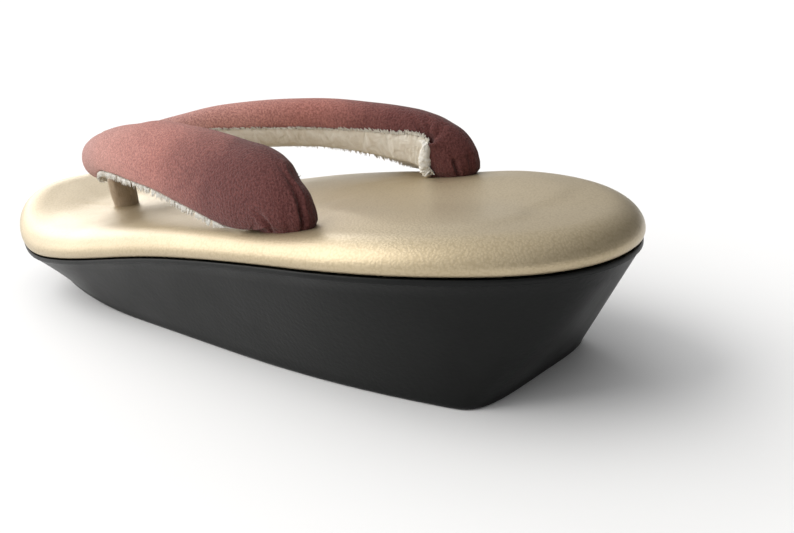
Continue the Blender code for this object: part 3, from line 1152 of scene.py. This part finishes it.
@dataclass
class StrapPath:
    """Run of the strap's left half from its foot to its tip, and its oval section."""

    cover: PaddedCover
    foot: tuple[float, float] = (-0.0425, 0.0325)
    tip: float = 0.0840
    rise: float = 0.0253
    width: float = 0.0235
    thickness: float = 0.0130
    seat: float = 0.0005
    table: Table = Table((
        (0.0, 0.000, 1.000, 0.03, 0.92, 0.96, 6.0),
        (1.0, 0.018, 1.003, 0.18, 0.97, 1.02, 10.0),
        (2.0, 0.062, 1.005, 0.31, 1.00, 1.04, 16.0),
        (3.0, 0.130, 1.000, 0.40, 1.00, 1.04, 22.0),
        (4.0, 0.240, 0.965, 0.53, 0.96, 1.02, 28.0),
        (5.0, 0.400, 0.870, 0.69, 0.90, 1.00, 33.0),
        (6.0, 0.560, 0.740, 0.81, 0.86, 1.00, 35.0),
        (7.0, 0.740, 0.560, 0.91, 0.80, 0.97, 33.0),
        (8.0, 0.870, 0.405, 0.85, 0.71, 0.94, 24.0),
        (9.0, 0.945, 0.310, 0.755, 0.62, 0.92, 12.0),
        (10.0, 0.987, 0.170, 0.69, 0.57, 0.92, 3.0),
        (11.0, 1.000, 0.000, 0.675, 0.55, 0.92, 0.0),
    ))
    flatness: Table = Table((
        (0.00, 0.75), (0.10, 1.05), (0.20, 1.10), (0.35, 1.00), (0.50, 0.65), (0.70, 0.30), (0.84, 0.0),
    ))
    flat_span: tuple[float, float] = (186.0, 288.0)
    flat_soft: float = 18.0
    near: float = 0.004
    twist_start: float = 0.15
    twist_run: float = 0.35

    def value(self, at: float, column: int) -> float:
        """Value of the table at a share of the path."""
        return self.table.read(at * (len(self.table.rows) - 1), column)

    def point(self, at: float) -> Vector:
        """Middle of the strap at a share of its path."""
        x = self.foot[0] + (self.tip - self.foot[0]) * self.value(at, 1)
        y = self.foot[1] * self.value(at, 2)
        return Vector((x, y, self.cover.top(x, y) + self.rise * self.value(at, 3)))

    def axes(self, at: float) -> tuple[Vector, Vector, Vector]:
        """Frame of the section at a share of the path.

        Args:
            at: share of the path.

        Returns:
            Middle of the section, and the directions of its outer face and its upper edge.
        """
        near = self.near
        along = (self.point(min(at + near, 1.0)) - self.point(max(at - near, 0.0))).normalized()
        if at <= near:
            along = Vector((0.0, 0.0, 1.0))
        if at >= 1 - near:
            along = Vector((0.0, -1.0, 0.0))
        upright = Vector((0.0, 1.0, 0.0))
        level = Vector((-along.y, along.x, 0.0)).normalized() if at > near else upright
        side = upright.lerp(level, min(max((at - self.twist_start) / self.twist_run, 0.0), 1.0))
        outer = (side - along * side.dot(along)).normalized()
        edge = along.cross(outer).normalized()
        lean = math.radians(self.value(at, 6))
        faced = outer * math.cos(lean) + edge * math.sin(lean)
        return self.point(at), faced, edge * math.cos(lean) - outer * math.sin(lean)

    def half_sizes(self, at: float) -> tuple[float, float]:
        """Half width and half thickness of the section at a share of the path."""
        return self.width / 2 * self.value(at, 4), self.thickness / 2 * self.value(at, 5)

    def surface(self, at: float, degrees: float, depth: float = 0.0) -> Vector:
        """Point on the strap, or below its surface by a depth.

        Args:
            at: share of the path.
            degrees: turn round the section, 0 on its outer face and 90 at its upper edge.
            depth: depth below the surface, negative above it.

        Returns:
            The point, lifted clear of the cover.
        """
        middle, outer, edge = self.axes(at)
        wide, thick = self.half_sizes(at)
        first, last = self.flat_span
        oval = self.oval(degrees, wide - depth, thick - depth)
        if first < degrees < last:
            share = (degrees - first) / (last - first)
            ends = self.oval(first, wide - depth, thick - depth), self.oval(last, wide - depth, thick - depth)
            soft = ease((degrees - first) / self.flat_soft) * ease((last - degrees) / self.flat_soft)
            oval = oval.lerp(ends[0].lerp(ends[1], share), self.flatness.read(at) * soft)
        return self.seated(middle + outer * oval.x + edge * oval.y, max(depth, 0.0))

    @staticmethod
    def oval(degrees: float, wide: float, thick: float) -> Vector:
        """Point on the plain oval section, across its thickness and its width."""
        turn = math.radians(degrees)
        return Vector((math.cos(turn) * thick, math.sin(turn) * wide))

    def seated(self, point: Vector, above: float = 0.0) -> Vector:
        """Point lifted clear of the cover, and by what lies between."""
        floor = self.cover.dressed_top(point.x, point.y) + self.seat + above
        return Vector((point.x, point.y, max(point.z, floor)))

    def runs(self, count: int) -> list[float]:
        """Distances along the path from the foot.

        Args:
            count: steps of the path.

        Returns:
            The distance of each evenly stepped share.
        """
        points = [self.point(i / count) for i in range(count + 1)]
        sums = [0.0]
        for a, b in zip(points, points[1:]):
            sums.append(sums[-1] + (b - a).length)
        return sums


@dataclass
class LiningEdge:
    """Where the velvet lies on one half of the strap: its inner edge and its outer edge, in degrees."""

    inner: Table = Table((
        (0.00, 178.0), (0.04, 181.0), (0.085, 176.0), (0.112, 160.0), (0.128, 143.0), (0.17, 141.0),
        (0.22, 145.0), (0.34, 149.0), (0.45, 155.0), (0.60, 153.0), (0.74, 160.0), (0.81, 180.0),
        (0.88, 234.0),
    ))
    outer: Table = Table((
        (0.00, 262.0), (0.08, 276.0), (0.20, 288.0), (0.45, 286.0), (0.66, 284.0), (0.78, 274.0),
        (0.88, 240.0),
    ))
    finish_at: float = 0.87
    finish_soft: float = 0.012

    def cover(self, at: float, degrees: float, soft: float) -> float:
        """Share of the seat's depth under the velvet at a place.

        Args:
            at: share of the strap's path.
            degrees: turn round the section.
            soft: degrees in which the seat fades out at its edges.

        Returns:
            1 well inside the velvet, 0 outside it.
        """
        inside = min(degrees - self.inner.read(at), self.outer.read(at) - degrees) / soft + 0.5
        end = (self.finish_at - at) / self.finish_soft + 0.5
        return ease(inside) * ease(end)


@dataclass
class CrepeStrap:
    """Thick wadded V strap, from one foot round the tip to the other."""

    path: StrapPath
    edge: LiningEdge
    stations: int = 100
    points: int = 72
    girth: float = 0.058
    seat_depth: float = 0.0011
    tongue: tuple[float, float, float] = (0.0170, 0.0085, 0.0150)
    finish: MauveCrepe = MauveCrepe()
    pleats: dict[Side, tuple[Crease, ...]] = field(default_factory=lambda: {
        Side.LEFT: (
            Crease((0.0000, 0.0002), (0.0050, -0.0010), 0.00055, 0.0021),
            Crease((0.0000, 0.0098), (0.0068, 0.0108), 0.00060, 0.0023),
            Crease((0.0044, 0.0130), (0.0046, 0.0215), 0.0011, 0.0011),
            Crease((0.0000, 0.0055), (0.0030, 0.0056), 0.0009, 0.0004),
            Crease((0.0000, 0.0165), (0.0035, 0.0170), 0.0009, 0.0005),
            Crease((0.0000, 0.0215), (0.0040, 0.0210), 0.0008, 0.0009),
            Crease((0.0060, 0.0228), (0.0112, 0.0188), 0.0007, 0.0012),
            Crease((0.0060, 0.0226), (0.0078, 0.0178), 0.0006, 0.0010),
        ),
        Side.RIGHT: (
            Crease((0.0000, 0.0208), (0.0024, 0.0205), 0.00060, 0.0022),
            Crease((0.0000, 0.0155), (0.0030, 0.0158), 0.0009, 0.0006),
            Crease((0.0000, 0.0090), (0.0060, 0.0096), 0.0007, 0.0018),
            Crease((0.0000, 0.0015), (0.0045, 0.0010), 0.0008, 0.0014),
            Crease((0.0060, 0.0105), (0.0056, 0.0150), 0.0016, 0.0004),
            Crease((0.0066, 0.0226), (0.0125, 0.0186), 0.0008, 0.0022),
            Crease((0.0062, 0.0224), (0.0094, 0.0166), 0.0007, 0.0020),
            Crease((0.0056, 0.0222), (0.0060, 0.0160), 0.0007, 0.0014),
        ),
    })
    dents: dict[Side, tuple[Hollow, ...]] = field(default_factory=lambda: {
        Side.LEFT: (
            Hollow(0.1000, 0.0110, 0.0370, 0.0150, 0.0023),
            Hollow(0.0030, 0.0190, 0.0070, 0.0090, 0.0012),
        ),
        Side.RIGHT: (
            Hollow(0.1020, 0.0110, 0.0300, 0.0150, 0.0014),
            Hollow(0.0010, 0.0100, 0.0095, 0.0120, -0.0017),
        ),
    })
    seat_soft: float = 7.0
    seam: float = 230.0
    lump_height: float = 0.00025
    lump_along: float = 70.0
    lump_round: float = 1.1
    lump_apart: float = 5.0
    lump_end: float = 0.02
    coarse: int = 8

    def angles(self) -> list[float]:
        """Degrees round the section of each point."""
        return [360.0 * k / self.points for k in range(self.points)]

    def rings(self) -> list[Ring]:
        """Rings of the whole strap.

        Returns:
            The rings, from the left tongue to the right one.
        """
        left = self.half(Side.LEFT)
        right = self.half(Side.RIGHT)
        right[-1] = left[-1]
        return left + right[-2::-1]

    def half(self, side: Side) -> list[Ring]:
        """Rings of one half, from its tongue to the middle plane.

        Args:
            side: which half.

        Returns:
            The rings.
        """
        wide, thick, depth = self.tongue
        x0, y0 = self.path.foot
        end = self.path.cover.top(x0, y0) - depth
        round_foot = [math.radians(a) for a in self.angles()]
        tongue = [Vector((x0 - wide / 2 * math.sin(a), y0 + thick / 2 * math.cos(a), end))
                  for a in round_foot]
        rings = [tongue, [self.path.seated(p) for p in tongue]]
        runs = self.path.runs(self.stations)
        for i in range(self.stations + 1):
            at = i / self.stations
            ring = []
            for degrees in self.angles():
                seat = self.seat_depth * self.edge.cover(at, degrees, self.seat_soft)
                fold = self.fold(side, runs[i], degrees)
                point = self.path.surface(at, degrees, seat)
                middle = self.path.point(at)
                ring.append(self.path.seated(point + (middle - point).normalized() * fold, seat))
            rings.append(ring)
        rings[-1] = [Vector((p.x, 0.0, p.z)) for p in rings[-1]]
        return [[side.place(p) for p in ring] for ring in rings]

    def fold(self, side: Side, run: float, degrees: float) -> float:
        """How far the cloth is drawn in at a place, by the pleats and the wadding's unevenness.

        Args:
            side: which half.
            run: distance from the foot.
            degrees: turn round the section.

        Returns:
            Depth in metres.
        """
        turn = degrees if degrees <= self.seam else degrees - 360
        across = self.girth * turn / 360
        drawn = sum(mark.sink(run, across) for mark in (*self.pleats[side], *self.dents[side]))
        angle, wide = math.radians(degrees), self.lump_round
        place = Vector((run * self.lump_along, math.cos(angle) * wide, math.sin(angle) * wide))
        apart = Vector((0.0, 0.0, self.lump_apart * side.value))
        lumps = noise.noise(place + apart) * self.lump_height * ease(run / self.lump_end)
        return drawn - lumps * ease((self.path.runs(self.coarse)[-1] - run) / self.lump_end)

    def build(self, effects: Effects) -> bpy.types.Object:
        """Make the strap and dress it.

        Args:
            effects: the shared node groups.

        Returns:
            The strap.
        """
        rings = self.rings()
        strap = Workbench.draw_out("crepe_strap", rings, (True, True))
        runs = self.path.runs(self.stations)
        total = runs[-1]
        left = [runs[0] - total - self.tongue[2], runs[0] - total, *(r - total for r in runs)]
        Workbench.pattern(strap, left + [-u for u in left[-2::-1]], self.girth, self.points)
        Workbench.smooth(strap, levels=1, angle=75.0)
        dress(strap, self.finish.material(effects), ("strap",))
        return strap


@dataclass(frozen=True)
class Tufts:
    """Small cones of pile along the velvet's edges: their sizes, their places and how they stray."""

    count: int = 620
    seed: int = 11
    radius: float = 0.00022
    tip: float = 0.25
    corners: int = 5
    length: tuple[float, float] = (0.0006, 0.0014)
    hanging: tuple[float, float] = (0.0010, 0.0019)
    start: float = 0.004
    stop: float = 0.02
    stray: tuple[float, float] = (-2.0, 1.5)
    root: float = 0.0001
    rise: float = -0.0007
    slant: float = 0.006
    turn: float = 5.0
    droop: float = 0.35
    sway: float = 0.3


@dataclass(frozen=True)
class RolledEdge:
    """Soft roll of velvet up the inner front of the foot: its run along the strap and its section."""

    start: float = 0.002
    end: float = 0.175
    steps: int = 56
    points: int = 14
    radius: float = 0.0019
    least: float = 0.0001
    turn: float = 9.0
    sink: float = 0.0002
    ahead: float = 0.004
    fade: float = 0.10
    fluff: float = 0.45
    fluff_along: float = 0.9
    fluff_round: float = 1.6


@dataclass
class VelvetLining:
    """White velvet under one half of the strap, with a tufted edge."""

    path: StrapPath
    edge: LiningEdge
    side: Side
    node: str
    stations: int = 230
    points: int = 26
    span: tuple[float, float] = (0.004, 0.002)
    under: float = 0.0009
    thinning: float = 0.0007
    least: float = 0.0002
    proud: float = 0.0003
    ragged: float = 0.0008
    ragged_radius: float = 0.0095
    hair_along: tuple[float, float] = (900.0, 2300.0)
    hair_across: float = 3.0
    puff: float = 0.00018
    puff_along: float = 120.0
    puff_across: float = 5.0
    apart: float = 40.0
    collar: float = 0.125
    tufts: Tufts = Tufts()
    roll: RolledEdge = RolledEdge()
    flat: tuple[float, float] = (0.0190, 0.1150)
    # The sheet takes the velvet painted darker as shade; the tufts and the rolled edge take a lighter copy,
    # painted light.
    finish: WhiteVelvet = WhiteVelvet()
    lit_edge_finish: WhiteVelvet = WhiteVelvet("velvet_painted_light_looks", (0.92, 0.90, 0.84), (0.80, 0.76, 0.67))

    def across(self, at: float, share: float) -> tuple[float, float]:
        """Turn and height of the velvet's face at a share of its width.

        Args:
            at: share of the strap's path.
            share: 0 at the inner edge, 1 at the outer edge.

        Returns:
            Degrees round the section, and the depth below the strap's plain surface.
        """
        low, high = self.edge.inner.read(at), self.edge.outer.read(at)
        seed = self.apart * self.side.value
        places = [Vector((at * along, seed, share * self.hair_across)) for along in self.hair_along]
        hair = sum(noise.noise(place) for place in places)
        ragged = math.degrees(self.ragged * hair / self.ragged_radius)
        rim = abs(2 * share - 1) ** 6
        degrees = low + (high - low) * share + ragged * rim * (1 if share > 0.5 else -1)
        puff = noise.noise(Vector((at * self.puff_along, share * self.puff_across, seed))) * self.puff
        return degrees, -self.proud - puff + (self.proud + self.least) * rim

    def tuft_shape(self) -> tuple[list[Vector], list[tuple[int, ...]]]:
        """Shape of one small cone of pile, standing on its root.

        Returns:
            Its points, and the point numbers of each side.
        """
        Workbench.clear()
        bpy.ops.mesh.primitive_cone_add(vertices=self.tufts.corners, radius1=1.0, radius2=self.tufts.tip,
                                        depth=1.0, location=(0.0, 0.0, 0.5))
        bpy.ops.object.transform_apply(location=True, rotation=False, scale=False)
        cone = bpy.context.active_object
        shape = [v.co.copy() for v in cone.data.vertices]
        sides = [tuple(p.vertices) for p in cone.data.polygons]
        bpy.data.objects.remove(cone)
        return shape, sides

    def tuft(self, dice: random.Random, inner: bool, shape: Sequence[Vector]) -> list[Vector]:
        """One tuft at a random place along an edge of the velvet.

        Args:
            dice: source of the random draws.
            inner: whether it stands on the inner edge.
            shape: points of the cone.

        Returns:
            The points in their places.
        """
        tufts = self.tufts
        outward = -1 if inner else 1
        at = dice.uniform(tufts.start, self.edge.finish_at - tufts.stop)
        edge = self.edge.inner.read(at) if inner else self.edge.outer.read(at)
        degrees = edge + dice.uniform(*tufts.stray) * outward
        root = self.path.surface(at, degrees, tufts.root)
        slant = dice.uniform(-tufts.slant, tufts.slant)
        reach = self.path.surface(at + slant, degrees + tufts.turn * outward, tufts.rise)
        way = (reach - root).normalized()
        if not inner:
            down = Vector((dice.uniform(-tufts.sway, tufts.sway), 0.0, -1.0))
            way = (way * tufts.droop + down).normalized()
        turn = way.to_track_quat("Z", "Y")
        length = dice.uniform(*(tufts.length if inner and at > self.collar else tufts.hanging))
        local = [Vector((co.x * tufts.radius, co.y * tufts.radius, co.z * length)) for co in shape]
        return [self.side.place(self.path.seated(root + turn @ co)) for co in local]

    def fringe(self) -> bpy.types.Object:
        """Tufts of pile along both edges of the velvet, each a copy of one small cone.

        Returns:
            The fringe.
        """
        shape, sides = self.tuft_shape()
        dice = random.Random(self.tufts.seed + self.side.value)
        points: list[Vector] = []
        faces: list[tuple[int, ...]] = []
        for k in range(2 * self.tufts.count):
            first = len(points)
            points += self.tuft(dice, k % 2 == 0, shape)
            faces += [tuple(first + i for i in side[::self.side.value]) for side in sides]
        mesh = bpy.data.meshes.new("tufts")
        mesh.from_pydata(points, [], faces)
        fringe = bpy.data.objects.new(f"velvet_tufts_{self.side.name.lower()}", mesh)
        bpy.context.scene.collection.objects.link(fringe)
        return fringe

    def roll_middle(self, at: float) -> Vector:
        """Middle of the rolled edge at a share of the path."""
        return self.path.surface(at, self.edge.inner.read(at) + self.roll.turn, self.roll.sink)

    def collar_rings(self) -> list[Ring]:
        """Rings of the velvet's rolled edge.

        Returns:
            The rings, up the inner front of the foot and a little along the strap.
        """
        roll = self.roll
        rings: list[Ring] = []
        for i in range(roll.steps + 1):
            at = roll.start + (roll.end - roll.start) * i / roll.steps
            middle = self.roll_middle(at)
            along = (self.roll_middle(at + roll.ahead) - middle).normalized()
            out = middle - self.path.point(at)
            out = (out - along * out.dot(along)).normalized()
            side = along.cross(out)
            radius = roll.radius * (1 - ease((at - roll.fade) / (roll.end - roll.fade))) + roll.least
            ring = []
            for a in turns(roll.points):
                high, wide = math.cos(a), math.sin(a)
                place = Vector((i * roll.fluff_along, high * roll.fluff_round, wide * roll.fluff_round))
                fluff = 1 + roll.fluff * noise.noise(place)
                point = middle + (out * high + side * wide) * radius * fluff
                ring.append(self.side.place(self.path.seated(point)))
            rings.append(ring)
        return rings

    def rings(self) -> list[Ring]:
        """Rings of the velvet, its face and its back.

        Returns:
            The rings, from the foot to the end near the tip.
        """
        first, last = self.span[0], self.edge.finish_at - self.span[1]
        rings: list[Ring] = []
        for i in range(self.stations + 1):
            at = first + (last - first) * i / self.stations
            face, back = [], []
            for k in range(self.points):
                share = k / (self.points - 1)
                degrees, depth = self.across(at, share)
                face.append(self.path.surface(at, degrees, depth))
                below = self.under - self.thinning * abs(2 * share - 1) ** 8
                back.append(self.path.surface(at, degrees, max(below, depth + self.least)))
            rings.append([self.side.place(p) for p in face + back[::-1]])
        return rings

    def build(self, effects: Effects) -> bpy.types.Object:
        """Make the lining and dress it.

        Args:
            effects: the shared node groups.

        Returns:
            The lining.
        """
        name = self.side.name.lower()
        lining = Workbench.draw_out(f"velvet_{name}", self.rings(), (True, True))
        Workbench.smooth(lining, levels=0, angle=80.0)
        dress(lining, self.finish.material(effects), (self.node,))
        # Painted light: the lighter copy of the velvet for the tufts and the rolled edge.
        pale = self.lit_edge_finish.material(effects)
        fringe = self.fringe()
        Workbench.smooth(fringe, levels=0, angle=80.0)
        dress(fringe, pale, (self.node,))
        roll = Workbench.draw_out(f"velvet_roll_{name}", self.collar_rings(), (True, True))
        Workbench.smooth(roll, levels=1, angle=80.0)
        dress(roll, pale, (self.node,))
        return lining


@dataclass
class ToeThong:
    """Beige cloth thong: a soft post from the front hole, and a band round the strap's tip."""

    path: StrapPath
    foot_x: float = 0.0810
    lean: float = 0.0035
    width: float = 0.0090
    thickness: float = 0.0072
    depth: float = 0.0140
    band_width: float = 0.0044
    band_thickness: float = 0.0020
    slack: float = 0.0021
    gap: float = 0.0003
    bedding: float = 0.4
    post_steps: int = 32
    post_points: int = 40
    swelling: float = 0.07
    fold_depths: tuple[float, float] = (0.030, 0.018)
    fold_counts: tuple[int, int] = (5, 9)
    fold_turn: float = 3.0
    band_steps: int = 64
    band_points: int = 16
    thickening: float = 0.5
    thickest: float = 0.9
    squareness: float = 0.7
    finish: ThongCloth = ThongCloth()

    def post_rings(self, top: float) -> list[Ring]:
        """Rings of the post, from the bottom of its hole to the band.

        Args:
            top: height of the post's end.

        Returns:
            The rings.
        """
        foot = self.path.cover.top(self.foot_x, 0.0)
        low = foot - self.depth
        (deep, faint), (few, many) = self.fold_depths, self.fold_counts
        rings: list[Ring] = []
        for step in range(self.post_steps + 1):
            share = step / self.post_steps
            z = low + (top - low) * share
            level = (z - foot) / (top - foot)
            free = ease(level)
            swell = 1.0 + self.swelling * math.sin(math.pi * min(max(level, 0.0), 1.0))
            ring = []
            for a in turns(self.post_points):
                broad = deep * free * math.sin(few * a + self.fold_turn * share)
                folds = 1.0 + broad + faint * free * math.sin(many * a + 1.0)
                x = self.foot_x + self.lean * share + self.thickness / 2 * math.cos(a) * swell * folds
                ring.append(Vector((x, self.width / 2 * math.sin(a) * swell * folds, z)))
            rings.append(ring)
        return rings

    def band_rings(self) -> list[Ring]:
        """Sections of the band.

        Returns:
            The sections, in order round the strap's tip.
        """
        middle = self.path.point(1.0)
        wide, thick = self.path.half_sizes(1.0)
        rings: list[Ring] = []
        for turn in turns(self.band_steps):
            back = self.slack * max(-math.cos(turn), 0.0)
            reach, high = thick + self.gap + back, wide + self.gap
            cloth = self.band_thickness * (1 + self.thickening * ease(math.sin(turn + self.thickest)))
            ring = []
            for a in turns(self.band_points):
                out = cloth / 2 * (1 + self.squared(math.cos(a)))
                side = self.band_width / 2 * self.squared(math.sin(a))
                ring.append(Vector((middle.x + (reach + out) * math.cos(turn), side,
                                    middle.z + (high + out) * math.sin(turn))))
            rings.append(ring)
        return rings

    def squared(self, value: float) -> float:
        """Sine or cosine bent towards a square section."""
        return math.copysign(abs(value) ** self.squareness, value)

    def build(self, effects: Effects) -> bpy.types.Object:
        """Make the thong and dress it.

        Args:
            effects: the shared node groups.

        Returns:
            The thong.
        """
        middle = self.path.point(1.0)
        wide, _ = self.path.half_sizes(1.0)
        top = middle.z - wide - self.gap - self.band_thickness * self.bedding
        post = Workbench.draw_out("toe_thong_post", self.post_rings(top), (True, True))
        rings = self.band_rings()
        band = Workbench.draw_out("toe_thong_band", [*rings, rings[0]], (False, False))
        Workbench.take(post)
        band.select_set(True)
        bpy.ops.object.join()
        post.name = post.data.name = "soft_toe_thong"
        Workbench.smooth(post, levels=1, angle=70.0)
        dress(post, self.finish.material(effects), ("toe_thong",))
        return post


# Studio


@dataclass(frozen=True)
class SoftLight:
    """Broad soft light from far off."""

    name: str
    way: tuple[float, float, float]
    spread: float
    strength: float
    colour: Colour = (1.0, 1.0, 1.0)

    def hang(self) -> bpy.types.Object:
        """Hang the light, shining from its way on the shoe.

        Returns:
            The light.
        """
        data = bpy.data.lights.new(self.name, "SUN")
        data.angle = math.radians(self.spread)
        data.energy = self.strength
        data.color = self.colour
        lamp = bpy.data.objects.new(self.name, data)
        bpy.context.scene.collection.objects.link(lamp)
        lamp.location = self.way
        lamp.rotation_euler = Vector(self.way).to_track_quat("Z", "Y").to_euler()
        return lamp


@dataclass(frozen=True)
class Studio:
    """Pale floor, soft lights and the photo's camera."""

    floor_colour: Colour = (0.94, 0.94, 0.94)
    floor_roughness: float = 0.9
    floor_specular: float = 0.1
    sky: tuple[float, float] = (0.10, 1.10)
    sky_span: tuple[float, float] = (-0.40, 0.85)
    window_way: tuple[float, float, float] = (0.72, 0.55, 0.42)
    floor_size: float = 60.0
    camera_place: tuple[float, float, float] = (-0.20886, 0.17224, 0.09841)
    yaw: float = 38.83
    pitch: float = 20.81
    roll: float = -3.02
    focal_pixels: float = 882.44
    sensor: float = 36.0
    near_clip: float = 0.01
    shift: tuple[float, float] = (-0.0780, 0.0476)
    lights: tuple[SoftLight, ...] = (
        SoftLight("window", (1.35, 0.85, 1.20), 60.0, 2.0, (1.0, 0.985, 0.96)),
        SoftLight("far_window", (1.60, -0.60, 0.80), 32.0, 0.7),
    )

    def build(self) -> None:
        """Set up the floor, the sky, the lights and the camera."""
        self.lay_floor()
        self.light_sky()
        for light in self.lights:
            light.hang()
        self.place_camera()

    def lay_floor(self) -> None:
        """Lay the plain pale floor."""
        Workbench.clear()
        bpy.ops.mesh.primitive_plane_add(size=self.floor_size, location=(0.0, 0.0, 0.0))
        floor = bpy.context.active_object
        floor.name = "studio_floor"
        made, sheet, shader = new_finish("studio_floor_looks")
        sheet.fill(shader, {
            "Base Color": (*self.floor_colour, 1.0),
            "Roughness": self.floor_roughness,
            "Specular IOR Level": self.floor_specular,
        })
        floor.data.materials.append(made)

    def light_sky(self) -> None:
        """Light the scene softly, brightest from the window's side."""
        world = bpy.data.worlds.new("studio_sky")
        world.use_nodes = True
        sheet = NodeSheet(world.node_tree)
        way = sheet.add("ShaderNodeVectorMath", {0: sheet.add("ShaderNodeTexCoord").outputs["Generated"],
                                                 1: self.window_way}, operation="DOT_PRODUCT")
        glow = sheet.span(way.outputs["Value"], *self.sky_span, *self.sky)
        seen = sheet.add("ShaderNodeLightPath").outputs["Is Camera Ray"]
        strength = sheet.math("MAXIMUM", glow, seen)
        sheet.fill(world.node_tree.nodes["Background"], {"Color": (1.0, 1.0, 1.0, 1.0), "Strength": strength})
        bpy.context.scene.world = world
        bpy.context.scene.view_settings.view_transform = "Standard"

    def place_camera(self) -> None:
        """Put the camera where the photo was taken from."""
        yaw, pitch, roll = (math.radians(v) for v in (self.yaw, self.pitch, self.roll))
        back = Vector((-math.sin(yaw) * math.cos(pitch), math.cos(yaw) * math.cos(pitch), math.sin(pitch)))
        right = (-back).cross(Vector((0.0, 0.0, 1.0))).normalized()
        up = right.cross(-back)
        across = right * math.cos(roll) + up * math.sin(roll)
        above = up * math.cos(roll) - right * math.sin(roll)
        data = bpy.data.cameras.new("photo_camera")
        data.sensor_width = self.sensor
        data.lens = self.focal_pixels / PHOTO_WIDTH * data.sensor_width
        data.shift_x, data.shift_y = self.shift
        data.clip_start = self.near_clip
        camera = bpy.data.objects.new("photo_camera", data)
        bpy.context.scene.collection.objects.link(camera)
        turn = Matrix((across, above, back)).transposed().to_4x4()
        camera.matrix_world = Matrix.Translation(self.camera_place) @ turn
        bpy.context.scene.camera = camera


def main() -> None:
    """Build the whole scene in order."""
    logging.basicConfig(level=logging.INFO, format="%(name)s: %(message)s")
    Studio().build()
    effects = Effects()
    Block().build(effects)
    cover = PaddedCover()
    cover.build(effects)
    path = StrapPath(cover)
    edge = LiningEdge()
    CrepeStrap(path, edge).build(effects)
    for side, node in ((Side.LEFT, "lining_left"), (Side.RIGHT, "lining_right")):
        VelvetLining(path, edge, side, node).build(effects)
    ToeThong(path).build(effects)


if __name__ == "__main__":
    main()
